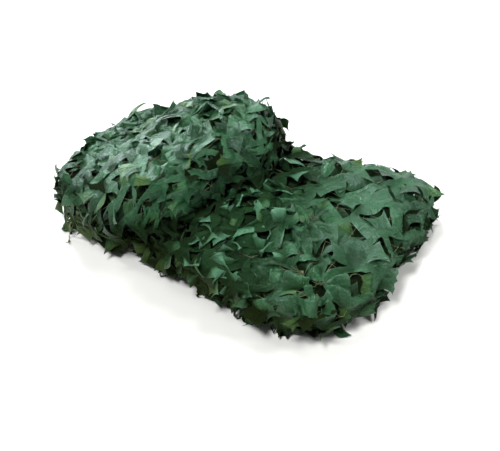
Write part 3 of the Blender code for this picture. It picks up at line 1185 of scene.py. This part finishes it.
    def build(self, finish: Finish) -> Piece:
        """Makes the ply.

        Args:
            finish: the cloth's material.

        Returns:
            The finished piece.
        """
        mesh = self.flat_grid()
        points = np.empty(len(mesh.vertices) * 3)
        mesh.vertices.foreach_get("co", points)
        points = points.reshape(-1, 3)[:, :2]
        corners = np.empty(len(mesh.loops), int)
        mesh.loops.foreach_get("vertex_index", corners)
        faces = corners.reshape(-1, 4)
        where = self.repeats_at(points[faces].mean(axis=1))
        in_leaf = self.cut.in_leaf(where.row, where.column)
        on_web = np.bincount(faces[~in_leaf].ravel(), minlength=len(points)) > 0
        placed = self.place_points(points, ~on_web)
        placed.keep_in_box()
        mesh.vertices.foreach_set("co", placed.places.ravel())
        mesh.update()
        weave = mesh.uv_layers.new(name="weave")
        weave.data.foreach_set("uv", placed.flat[corners].ravel())
        rim = np.zeros(len(points))
        bm = bmesh.new()
        bm.from_mesh(mesh)
        rim[[vertex.index for vertex in bm.verts if vertex.is_boundary]] = 1.0
        bm.free()
        values = {name: getattr(placed, name) for name in ("tone", "tip", "side", "depth")}
        for name, value in (values | {"rim": rim}).items():
            mesh.attributes.new(name, "FLOAT", "POINT").data.foreach_set("value", value)
        mesh.shade_smooth()
        mesh.materials.append(finish)
        area = sum(polygon.area for polygon in mesh.polygons)
        log.info("%s: %d triangles, %.2f square metres", self.name, 2 * len(faces), area)
        return link(bpy.data.objects.new(self.name, mesh))


@dataclass
class StringNet:
    """The slack string mesh that the cloth is tied to, just under it.

    Attributes:
        name: the piece's name.
        ply: the cloth that it follows.
        pitch: the mesh's size, metres.
        turn: its angle to the cut, degrees.
        diameter: the string's thickness.
        sink: how far it lies under the cloth.
        slack: how far it strays from straight lines.
        fans: places on the slab where several strings run together.
    """

    name: str
    ply: DieCutPly
    pitch: float = 0.046
    turn: float = 41.0
    diameter: float = 0.0008
    sink: float = 0.0055
    slack: float = 0.010
    fans: tuple[Pair, ...] = ()

    def marks(self, step: float) -> Array:
        """Even marks along a line that crosses the whole cloth."""
        reach = math.hypot(self.ply.lattice.length, self.ply.lattice.width) / 2
        return np.arange(-reach, reach, step)

    def strayed(self, square: Array) -> Array:
        """Where points of the square mesh lie in the flat cloth, metres."""
        along, aside = turned(square, self.turn)
        spot = np.column_stack((along, aside, np.full_like(along, 0.37)))
        stray = [self.slack * noise_at(spot, 0.055, shift) for shift in (1.7, 6.2)]
        return np.column_stack((along + stray[0], aside + stray[1]))

    def inside(self, flat: Array) -> Array:
        """Whether points of the flat cloth lie within its edges."""
        u, v = self.ply.on_lattice(flat)
        lattice = self.ply.lattice
        return (np.abs(v) < lattice.width / 2 - 0.01) & (u > 0.01) & (u < lattice.length - 0.01)

    def placed(self, flat: Array) -> Array:
        """Where points of the flat cloth lie in the folds, under the cloth."""
        places = self.ply.web(flat, self.sink)[0]
        places[:, 2] = np.maximum(places[:, 2], FLOOR_ROOM)
        return places

    def mesh_lines(self) -> list[Array]:
        """Every stretch of string in the square mesh."""
        steps = self.marks(self.pitch / 7)
        lines = []
        for offset in self.marks(self.pitch):
            across = np.full_like(steps, offset)
            for square in (np.column_stack((steps, across)), np.column_stack((across, steps))):
                flat = self.strayed(square)
                kept = self.inside(flat)
                ends = np.flatnonzero(np.diff(np.concatenate(([0], kept.astype(int), [0]))))
                for start, stop in zip(ends[::2], ends[1::2]):
                    if stop - start > 4:
                        lines.append(self.placed(flat[start:stop]))
        return lines

    def fan_lines(self) -> list[Array]:
        """Strings that run out together from one knot."""
        lines = []
        places = self.ply.lattice.places.reshape(-1, 3)
        for number, spot in enumerate(self.fans):
            height = places[nearest_on_top(places, spot), 2]
            dice = np.random.default_rng(300 + number)
            for turn in np.linspace(-1.0, 1.0, 6) + dice.uniform(-0.15, 0.15, 6):
                heading = 2.3 + 1.9 * number + turn
                share = np.linspace(0.0, 1.0, 8)[:, None]
                start = np.array((*spot, height + 0.0015))
                run = np.array((math.cos(heading), math.sin(heading), 0.0)) * dice.uniform(0.024, 0.040)
                sag = np.array((0.0, 0.0, -0.004)) * np.sin(math.pi * share)
                lines.append(start + run * share + sag)
        return lines

    def knots(self) -> Array:
        """Where the strings of the mesh cross."""
        steps = self.marks(self.pitch)
        square = np.stack(np.meshgrid(steps, steps), axis=-1).reshape(-1, 2)
        flat = self.strayed(square)
        return self.placed(flat[self.inside(flat)])

    def build(self, finish: Finish) -> Piece:
        """Makes the net, with a small knot at each crossing.

        Args:
            finish: the string's material.

        Returns:
            The finished piece.
        """
        piece = tubes(self.name, self.mesh_lines() + self.fan_lines(), self.diameter, finish)
        bm = bmesh.new()
        bm.from_mesh(piece.data)
        for place in self.knots():
            bmesh.ops.create_icosphere(
                bm, subdivisions=1, radius=1.5 * self.diameter, matrix=Matrix.Translation(place.tolist())
            )
        bm.to_mesh(piece.data)
        bm.free()
        piece.data.shade_smooth()
        log.info("%s: %d faces", self.name, len(piece.data.polygons))
        return piece


# Finishes ----------------------------------------------------


@dataclass(frozen=True)
class Nodes:
    """A short way to build a material's node tree."""

    tree: bpy.types.NodeTree

    def add(self, kind: str, **settings: object) -> bpy.types.Node:
        """Adds a node and sets its properties."""
        node = self.tree.nodes.new(kind)
        for name, value in settings.items():
            setattr(node, name, value)
        return node

    def feed(self, socket: Socket, value: object) -> None:
        """Joins an output to a socket, or sets the socket's value."""
        if isinstance(value, Socket):
            self.tree.links.new(value, socket)
        else:
            socket.default_value = value

    def mix(self, share: object, first: object, second: object) -> Socket:
        """Mixes two colours."""
        node = self.add("ShaderNodeMix", data_type="RGBA")
        for name, value in (("Factor", share), ("A", first), ("B", second)):
            self.feed(node.inputs[name], value)
        return node.outputs["Result"]

    def spread(self, value: object, low: float, high: float, to: Pair = (0.0, 1.0)) -> Socket:
        """Spreads a range of a value over another range."""
        node = self.add("ShaderNodeMapRange")
        self.feed(node.inputs["Value"], value)
        for name, number in zip(("From Min", "From Max", "To Min", "To Max"), (low, high, *to)):
            node.inputs[name].default_value = number
        return node.outputs["Result"]

    def math(self, operation: str, first: object, second: object = 0.0) -> Socket:
        """One sum on two values."""
        node = self.add("ShaderNodeMath", operation=operation)
        self.feed(node.inputs[0], first)
        self.feed(node.inputs[1], second)
        return node.outputs["Value"]

    def product(self, first: object, *others: object) -> Socket:
        """Several values multiplied in turn."""
        for other in others:
            first = self.math("MULTIPLY", first, other)
        return first

    def attribute(self, name: str) -> Socket:
        """A value that the mesh's points carry."""
        return self.add("ShaderNodeAttribute", attribute_name=name).outputs["Fac"]

    def texture(
        self, kind: str, place: Socket, inputs: dict[str, object], **settings: object
    ) -> Socket:
        """The value of a texture.

        Args:
            kind: what follows ShaderNodeTex in the node's type.
            place: where it is looked up.
            inputs: the values of its other sockets.
            settings: the node's properties.
        """
        node = self.add(f"ShaderNodeTex{kind}", **settings)
        for name, value in ({"Vector": place} | inputs).items():
            self.feed(node.inputs[name], value)
        return node.outputs["Fac"]

    def parts(self, vector: Socket) -> list[Socket]:
        """A vector's three numbers."""
        node = self.add("ShaderNodeSeparateXYZ")
        self.feed(node.inputs[0], vector)
        return list(node.outputs)

    def bump(self, height: Socket, strength: float, distance: float) -> Socket:
        """The normal of a surface with that relief."""
        node = self.add("ShaderNodeBump")
        for name, value in (("Height", height), ("Strength", strength), ("Distance", distance)):
            self.feed(node.inputs[name], value)
        return node.outputs["Normal"]


def new_material(name: str) -> tuple[Finish, Nodes, bpy.types.NodeInputs]:
    """A material, a way to add nodes to it, and its shader's inputs."""
    material = bpy.data.materials.new(name)
    material.use_nodes = True
    return material, Nodes(material.node_tree), material.node_tree.nodes["Principled BSDF"].inputs


@dataclass(frozen=True)
class OxfordCloth:
    """Coated oxford cloth: deep green, bluish where it shines, and painted yellower on a few leaf tips as
    light shining through it.

    Attributes:
        deep: its colour on dark leaves and in random clouds, and painted shade in the hollows of the furrows.
        pale: its colour on light leaves, and a painted highlight on the crests of creases and furrows.
        backlit_leaf: painted light on a few leaf tips, yellower as if light shone through the cloth.
        low_side_shade: painted shade, warm and olive, on its low, steep sides.
        edge_highlight: a painted highlight along the edges of the cuts.
        dark: painted shade deep in the bundle and in the crease under the lobe.
        lit_tip: painted light on tips that stand in the light.
        roughness: the coating's roughness.
    """

    deep: Colour = (0.006, 0.040, 0.012, 1.0)
    pale: Colour = (0.034, 0.150, 0.055, 1.0)
    backlit_leaf: Colour = (0.070, 0.135, 0.020, 1.0)
    low_side_shade: Colour = (0.044, 0.070, 0.008, 1.0)
    edge_highlight: Colour = (0.11, 0.20, 0.12, 1.0)
    dark: Colour = (0.008, 0.009, 0.004, 1.0)
    lit_tip: Colour = (0.085, 0.235, 0.130, 1.0)
    roughness: float = 0.36

    def material(self) -> Finish:
        """The cloth's material."""
        material, nodes, inputs = new_material("green_oxford_cloth")
        tone, tip, side, rim, depth = map(nodes.attribute, ("tone", "tip", "side", "rim", "depth"))
        place = nodes.add("ShaderNodeTexCoord").outputs["Object"]
        weave = nodes.add("ShaderNodeUVMap", uv_map="weave").outputs["UV"]
        x, y, z = nodes.parts(place)
        facing = nodes.parts(nodes.add("ShaderNodeNewGeometry").outputs["Normal"])[2]

        # Clouds over the whole bundle, creases across the cloth, and furrows along each leaf
        cloud = nodes.texture("Noise", place, {"Scale": 14.0, "Detail": 3.0})
        creased = {"Scale": 27.0, "Detail": 2.5, "Distortion": 0.7}
        creases = nodes.texture("Noise", weave, creased, noise_type="RIDGED_MULTIFRACTAL")
        along_leaf = nodes.add("ShaderNodeCombineXYZ")
        for axis, value, factor in (("X", side, 4.0), ("Y", tip, 1.4), ("Z", tone, 40.0)):
            nodes.feed(along_leaf.inputs[axis], nodes.math("MULTIPLY", value, factor))
        furrowed = {"Scale": 1.0, "Detail": 2.5, "Distortion": 0.4}
        furrows = nodes.texture("Noise", along_leaf.outputs["Vector"], furrowed)

        # Painted light: a few leaf tips turn yellower, as light shining through the cloth
        backlit_share = nodes.product(nodes.spread(tone, 0.74, 0.92), nodes.spread(tip, 0.0, 0.7, (0.35, 1.0)))
        # Painted shade, warm and olive, on the low, steep sides, which also shine less
        steep = nodes.spread(facing, 0.90, 0.35, (0.35, 1.0))
        low_side_shaded = nodes.product(
            nodes.spread(z, 0.115, 0.050), steep, nodes.spread(x, 0.35, 0.05, (0.25, 0.9))
        )
        colour = nodes.mix(nodes.spread(tone, 0.15, 0.85), self.deep, self.pale)
        # Painted light and shade over the tone: light through a few tips, highlights on crease and furrow
        # crests, shade in furrow hollows and on the low sides, highlights on cut edges, shade deep in the
        # bundle and light on standing tips
        for share, layer in (
            (backlit_share, self.backlit_leaf),
            (nodes.spread(creases, 0.45, 0.95, (0.0, 0.45)), self.pale),
            (nodes.spread(furrows, 0.50, 0.72, (0.0, 0.40)), self.pale),
            (nodes.spread(furrows, 0.48, 0.30, (0.0, 0.45)), self.deep),
            (low_side_shaded, self.low_side_shade),
            (nodes.spread(cloud, 0.35, 0.75, (0.0, 0.25)), self.deep),
            (nodes.spread(rim, 0.45, 1.0, (0.0, 0.55)), self.edge_highlight),
            (nodes.spread(depth, 0.0, 1.0, (0.0, 0.88)), self.dark),
            (nodes.spread(depth, 0.0, -0.9, (0.0, 0.92)), self.lit_tip),
        ):
            colour = nodes.mix(share, colour, layer)
        nodes.feed(inputs["Base Color"], colour)
        nodes.feed(inputs["Normal"], self.relief(nodes, place, weave, ((creases, 1.5), (furrows, 1.3))))

        gloss = nodes.spread(cloud, 0.3, 0.7, (self.roughness - 0.06, self.roughness + 0.08))
        nodes.feed(inputs["Roughness"], gloss)
        hidden = nodes.spread(depth, 0.0, 0.8, (0.62, 0.02))
        nodes.feed(
            inputs["Specular IOR Level"], nodes.product(hidden, nodes.spread(low_side_shaded, 0.0, 0.9, (1.0, 0.30)))
        )
        inputs["Specular Tint"].default_value = (0.70, 1.0, 0.90, 1.0)
        some_leaves = nodes.math("PINGPONG", nodes.math("MULTIPLY", tone, 6.0), 1.0)
        glossy = nodes.product(
            nodes.spread(some_leaves, 0.25, 1.0),
            nodes.spread(depth, 0.0, 0.5, (0.9, 0.0)),
            nodes.spread(z, 0.10, 0.15),
            nodes.spread(x, -0.06, -0.24, (0.10, 1.0)),
            nodes.spread(y, -0.19, -0.08, (0.10, 1.0)),
            1.1,
        )
        nodes.feed(inputs["Coat Weight"], glossy)
        inputs["Coat Roughness"].default_value = 0.50
        inputs["Coat Tint"].default_value = (0.90, 1.0, 0.97, 1.0)
        return material

    def relief(
        self,
        nodes: Nodes,
        place: Socket,
        weave: Socket,
        others: tuple[tuple[Socket, float], ...],
    ) -> Socket:
        """The cloth's fine relief: crushed streaks, wrinkles, threads and what the colour shows too.

        Args:
            nodes: where it is built.
            place: the place in the bundle.
            weave: the place in the flat cloth.
            others: other heights, and how much each adds.

        Returns:
            The normal.
        """
        streak = nodes.add("ShaderNodeMapping")
        nodes.feed(streak.inputs["Vector"], weave)
        streak.inputs["Rotation"].default_value = (0.0, 0.0, 0.5)
        streak.inputs["Scale"].default_value = (260.0, 70.0, 1.0)
        crushed = {"Scale": 1.0, "Detail": 3.0, "Distortion": 0.8}
        crush = nodes.texture("Noise", streak.outputs["Vector"], crushed)
        wrinkled = {"Scale": 110.0, "Detail": 5.0, "Roughness": 0.6, "Distortion": 0.6}
        height = nodes.texture("Noise", place, wrinkled)
        threads = nodes.texture("Checker", weave, {"Scale": 1400.0})
        for layer, weight in ((crush, 0.8), *others, (threads, 0.05)):
            height = nodes.math("ADD", height, nodes.math("MULTIPLY", layer, weight))
        return nodes.bump(height, 0.85, 0.0050)


def string_twist() -> bpy.types.ShaderNodeTree:
    """The effect that every string's material shares: two twisted strands, with painted shade in the hollows
    between them.
    """
    name = "string_twist"
    if name in bpy.data.node_groups:
        return bpy.data.node_groups[name]
    tree = bpy.data.node_groups.new(name, "ShaderNodeTree")
    for socket, side, kind in (
        ("Crest", "INPUT", "NodeSocketColor"),
        ("Hollow", "INPUT", "NodeSocketColor"),
        ("Scale", "INPUT", "NodeSocketFloat"),
        ("Colour", "OUTPUT", "NodeSocketColor"),
        ("Height", "OUTPUT", "NodeSocketFloat"),
    ):
        tree.interface.new_socket(socket, in_out=side, socket_type=kind)
    nodes = Nodes(tree)
    given, result = nodes.add("NodeGroupInput").outputs, nodes.add("NodeGroupOutput").inputs
    place = nodes.add("ShaderNodeTexCoord").outputs["Object"]
    twisted = {"Scale": given["Scale"], "Distortion": 1.5}
    strands = nodes.texture("Wave", place, twisted, bands_direction="DIAGONAL")
    nodes.feed(result["Colour"], nodes.mix(strands, given["Hollow"], given["Crest"]))
    nodes.feed(result["Height"], strands)
    return tree


@dataclass(frozen=True)
class TwistedString:
    """String of two twisted strands, khaki unless it is given other colours."""

    colour: Colour = (0.27, 0.30, 0.17, 1.0)
    shade: Colour = (0.12, 0.14, 0.07, 1.0)

    def material(self, name: str) -> Finish:
        """The string's material."""
        material, nodes, inputs = new_material(name)
        twist = nodes.add("ShaderNodeGroup", node_tree=string_twist())
        for socket, value in (("Crest", self.colour), ("Hollow", self.shade), ("Scale", 380.0)):
            twist.inputs[socket].default_value = value
        nodes.feed(inputs["Base Color"], twist.outputs["Colour"])
        nodes.feed(inputs["Normal"], nodes.bump(twist.outputs["Height"], 0.5, 0.0005))
        inputs["Roughness"].default_value = 0.85
        return material


# The string that hangs loose and the knots -------------------


@dataclass(frozen=True)
class LooseString:
    """The end of the net's edge string, from the cloth's left end down to the surface."""

    diameter: float = 0.0018
    step: float = 0.0045
    route: tuple[Place, ...] = (
        (-0.2598, -0.2415, 0.0480),
        (-0.2601, -0.2442, 0.0476),
        (-0.2607, -0.2462, 0.0440),
        (-0.2618, -0.2460, 0.0360),
        (-0.2645, -0.2450, 0.0260),
        (-0.2678, -0.2445, 0.0160),
        (-0.2700, -0.2452, 0.0075),
        (-0.2698, -0.2470, 0.0030),
        (-0.2682, -0.2490, 0.0020),
        (-0.2663, -0.2509, 0.0030),
    )

    def line(self) -> list[Vector]:
        """Even steps along a smooth curve through the route."""
        route = [Vector(point) for point in self.route]
        padded = [route[0] * 2 - route[1], *route, route[-1] * 2 - route[-2]]
        points = []
        for before, here, following, after in zip(padded, padded[1:], padded[2:], padded[3:]):
            slopes = (following - before) / 2, (after - here) / 2
            steps = max(1, round((following - here).length / self.step))
            points += [hermite(here, following, slopes, step / steps) for step in range(steps)]
        return [*points, route[-1]]

    def build(self, finish: Finish) -> tuple[Piece, float]:
        """The string as a curve, and its length."""
        points = self.line()
        curve = string_curve("edge_string_end", [np.array(points)], self.diameter, 2, frozenset())
        curve.materials.append(finish)
        length = sum((b - a).length for a, b in zip(points, points[1:]))
        return link(bpy.data.objects.new(curve.name, curve)), length


@dataclass(frozen=True)
class Knot:
    """An overhand knot with its loose ends, in the place of a plain one.

    Attributes:
        name: the piece's name.
        node: the plain knot's node.
        diameter: the string's thickness.
        tilt: the knot's turn, degrees.
        tails: heading in degrees and length in metres of each loose end.
        points: how many points a loose end has.
        bend: how far it bends aside, radians.
    """

    name: str
    node: str
    diameter: float
    tilt: float
    tails: tuple[Pair, ...]
    points: int = 12
    bend: float = 0.9

    def loop(self) -> Array:
        """The knotted loop's points, as large as the plain knot."""
        low, high = box_of(self.node)
        turn = np.linspace(0.0, 2.0 * math.pi, 40, endpoint=False)
        loop = np.stack(
            (np.sin(turn) + 2 * np.sin(2 * turn), np.cos(turn) - 2 * np.cos(2 * turn), -np.sin(3 * turn)),
            axis=1,
        )
        half = (high - low - self.diameter) / 2
        return (low + high) / 2 + loop / (3.0, 3.0, 1.0) * half

    def tail(self, heading: float, length: float, ground: BVHTree | None) -> Array:
        """One loose end, lying on what is under it."""
        low, high = box_of(self.node)
        turn = math.radians(heading + self.tilt)
        share = np.linspace(0.0, 1.0, self.points)
        bend = turn + self.bend * share**1.5 * math.copysign(1.0, math.sin(7.0 * heading))
        step = length / (self.points - 1)
        points = np.tile((low + high) / 2, (self.points, 1))
        points[:, 0] += 0.002 * math.cos(turn) + np.cumsum(np.cos(bend)) * step
        points[:, 1] += 0.002 * math.sin(turn) + np.cumsum(np.sin(bend)) * step
        if ground is not None:
            for point in points[2:]:
                hit = ground.ray_cast(Vector((point[0], point[1], high[2] + 0.03)), Vector((0, 0, -1)))[0]
                if hit is not None:
                    point[2] = hit.z + self.diameter
            points[2:-1, 2] = (points[1:-2, 2] + 2 * points[2:-1, 2] + points[3:, 2]) / 4
        return points

    def build(self, finish: Finish, ground: BVHTree | None) -> Piece:
        """Makes the knot.

        Args:
            finish: the string's material.
            ground: the cloth under it, for its loose ends to lie on.

        Returns:
            The finished piece.
        """
        tails = [self.tail(heading, length, ground) for heading, length in self.tails]
        piece = tubes(self.name, [self.loop(), *tails], self.diameter, finish, frozenset({0}), 2)
        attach(piece, BODY)
        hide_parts(self.node)
        return piece


TIE_COLOURS = (0.085, 0.110, 0.050, 1.0), (0.030, 0.042, 0.018, 1.0)
TIP_KNOT = Knot("edge_string_knot", "string_knot", 0.0016, 20.0, ((250.0, 0.006), (290.0, 0.005)))
TIES = (
    Knot("corner_tie", "tie_knot_corner", 0.0018, 15.0, ((40.0, 0.013), (200.0, 0.011))),
    Knot("middle_tie", "tie_knot_middle", 0.0018, -20.0, ((150.0, 0.020), (330.0, 0.016), (20.0, 0.014))),
)


# The studio --------------------------------------------------


@dataclass(frozen=True)
class Lamp:
    """A round soft light that points at the bundle."""

    name: str
    place: Place
    size: float
    power: float
    tint: Place

    def build(self) -> None:
        """Adds the light."""
        data = bpy.data.lights.new(self.name, "AREA")
        data.shape = "DISK"
        data.size = self.size
        data.energy = self.power
        data.color = self.tint
        lamp = link(bpy.data.objects.new(self.name, data))
        lamp.location = self.place
        lamp.rotation_euler = (Vector(self.place) - Vector((0, 0, 0.1))).to_track_quat("Z", "Y").to_euler()


LAMPS = (
    Lamp("side_window", (-2.05, 1.0, 1.05), 0.8, 76.0, (0.88, 0.97, 1.0)),
    Lamp("left_window", (-2.3, -0.5, 1.5), 0.5, 26.0, (1.0, 1.0, 0.95)),
    Lamp("back_window", (0.2, 1.7, 1.8), 0.5, 30.0, (1.0, 1.0, 0.98)),
    Lamp("overhead", (0.2, -1.2, 2.0), 0.6, 42.0, (1.0, 1.0, 0.97)),
    Lamp("right_fill", (1.5, 0.7, 1.7), 0.7, 23.0, (1.0, 1.0, 0.96)),
)


@dataclass(frozen=True)
class Studio:
    """A pale floor, soft lights and the camera."""

    azimuth: float = 34.0
    elevation: float = 40.0
    distance: float = 1.6
    lens: float = 57.6
    target: Place = (0.055, -0.059, 0.06)
    air: Colour = (0.97, 0.99, 1.0, 1.0)
    air_strength: float = 0.12
    floor_colour: Colour = (0.86, 0.86, 0.86, 1.0)
    floor_reach: float = 6.0

    def camera(self) -> None:
        """Adds the camera."""
        turn, rise = math.radians(self.azimuth), math.radians(self.elevation)
        flat = math.cos(rise)
        back = Vector((math.sin(turn) * flat, -math.cos(turn) * flat, math.sin(rise)))
        data = bpy.data.cameras.new("camera")
        data.lens = self.lens
        data.sensor_width = 36.0
        camera = link(bpy.data.objects.new("camera", data))
        camera.location = Vector(self.target) + back * self.distance
        camera.rotation_euler = back.to_track_quat("Z", "Y").to_euler()
        bpy.context.scene.camera = camera

    def floor(self) -> None:
        """Adds the floor."""
        bm = bmesh.new()
        bmesh.ops.create_grid(bm, x_segments=1, y_segments=1, size=self.floor_reach)
        mesh = bpy.data.meshes.new("floor")
        bm.to_mesh(mesh)
        bm.free()
        material, _, inputs = new_material("floor_paint")
        inputs["Base Color"].default_value = self.floor_colour
        inputs["Roughness"].default_value = 0.9
        inputs["Specular IOR Level"].default_value = 0.0
        mesh.materials.append(material)
        link(bpy.data.objects.new("floor", mesh))

    def build(self) -> None:
        """Sets the whole studio."""
        scene = bpy.context.scene
        world = bpy.data.worlds.new("studio_air")
        world.use_nodes = True
        background = world.node_tree.nodes["Background"].inputs
        background["Color"].default_value = self.air
        background["Strength"].default_value = self.air_strength
        scene.world = world
        scene.view_settings.view_transform = "Standard"
        self.camera()
        self.floor()
        for lamp in LAMPS:
            lamp.build()


# The whole bundle --------------------------------------------

CALM_TOP = Temper(4.0, 27.0, 46.0, 0.30, 0.45, 0.012, 0.0050, 0.0058, 0.018)
ROUGH_TOP = Temper(8.0, 66.0, 100.0, 0.60, 0.90, 0.019, 0.0070, 0.0060, 0.022)
BUNCHED = Temper(18.0, 95.0, 120.0, 0.85, 1.30, 0.026, 0.0085, 0.0095, 0.028)
RUFFLED = Temper(14.0, 80.0, 105.0, 0.75, 1.20, 0.020, 0.0065, 0.0075, 0.024)
INNER = Temper(0.0, 10.0, 25.0, 0.20, 0.20, 0.010, 0.0020, 0.0015, 0.006)

# Places on the slab, seen from above, where a gap stands open
HOLES = (
    (0.340, -0.075),
    (0.288, -0.129),
    (0.275, 0.005),
    (0.233, -0.153),
    (0.326, 0.043),
    (0.335, -0.180),
)
ON_SLAB = Patch(Zone(x=((-0.05, 0.0), (0.21, 0.16)), y=((-0.32, -0.27), (0.07, 0.02))))
ON_LOBE = Patch(
    Zone(
        x=((-0.41, -0.36), (-0.05, -0.10)),
        y=((-0.15, -0.10), (0.25, 0.20)),
        z=((0.04, 0.09), (0.35, 0.30)),
    )
)
NETS = {
    "slab_upper_ply": ("slab_string_net", ((0.333, -0.062), (0.232, -0.150))),
    "lobe_upper_ply": ("lobe_string_net", ()),
}


class Part(Enum):
    """Which stretch of the section a ply follows."""

    WHOLE = "whole"
    SLAB = "slab"
    LOBE = "lobe"


def lattice_for(part: Part) -> ClothLattice:
    """The folded surface for a stretch of the section."""
    if part is Part.WHOLE:
        form = FoldedForm()
        return ClothLattice(form.surface(form.section(WHOLE_CLOTH, False, None)))
    form = FoldedForm(side_share=0.36, side_rise=0.20)
    if part is Part.SLAB:
        return ClothLattice(form.surface(form.section(SLAB_RUNS, True, None)))
    return ClothLattice(form.surface(form.section(LOBE_RUNS, True, SECOND_SLAB)))


def plies() -> list[DieCutPly]:
    """Every ply of the cloth, from the long one to those that show."""
    whole, slab, lobe = (lattice_for(part) for part in Part)
    broad = DieCut(0.062, 20, 4, 16, 6, 0.24, 0.43)
    small = DieCut(0.056, 20, 3, 17, 7)
    tiny = DieCut(0.042, 15, 2, 13, 5, 0.22, 0.45)
    on_slab = CALM_TOP, BUNCHED
    on_lobe = ROUGH_TOP, RUFFLED
    opened = 0.004, 0.010
    return [
        # The long inner ply is painted in full shade
        DieCutPly("netting_plies", whole, DieCut(), 0.0, -0.012, INNER, INNER, (0.002, 0.006), 0.3, 1.0, 11),
        DieCutPly("slab_under_ply", slab, small, 12.0, -0.005, *on_slab, opened, 0.15, 0.0, 23, HOLES),
        DieCutPly("slab_upper_ply", slab, broad, 38.0, 0.004, *on_slab, opened, 0.15, 0.0, 37, HOLES),
        DieCutPly("slab_bunch", slab, tiny, 60.0, 0.005, BUNCHED, BUNCHED, opened, 0.2, 0.0, 71, (), ON_SLAB),
        DieCutPly("lobe_under_ply", lobe, small, -20.0, -0.004, *on_lobe, opened, 0.15, 0.0, 41),
        DieCutPly("lobe_upper_ply", lobe, small, 40.0, 0.004, *on_lobe, opened, 0.15, 0.0, 59),
        DieCutPly("lobe_bunch", lobe, tiny, 12.0, 0.006, RUFFLED, RUFFLED, opened, 0.2, 0.0, 83, (), ON_LOBE),
    ]


def declare(piece: Piece) -> None:
    """Attaches a ply to the bundle's body."""
    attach(piece, BODY)


def main() -> None:
    """Builds and reports every piece, then the studio."""
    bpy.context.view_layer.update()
    Studio().build()
    cloth = OxfordCloth().material()
    string = TwistedString().material("khaki_string")
    tie_string = TwistedString(*TIE_COLOURS).material("tie_string")

    loose = LooseString()
    end, length = loose.build(string)
    tip_knot = TIP_KNOT.build(string, None)
    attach(end, BODY)
    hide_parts("loose_string")
    log.info("%s: %.1f mm long", end.name, length * 1000)

    for ply in plies():
        piece = ply.build(cloth)
        others = []
        if ply.name in NETS:
            name, fans = NETS[ply.name]
            net = StringNet(name, ply, fans=fans).build(string)
            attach(net, BODY)
            others.append(net)
        if ply.name == "netting_plies":
            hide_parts("netting")
        if ply.name == "slab_upper_ply":
            ground = BVHTree.FromObject(piece, bpy.context.evaluated_depsgraph_get())
            others += [tie.build(tie_string, ground) for tie in TIES]
        declare(piece)


if __name__ == "__main__":
    main()
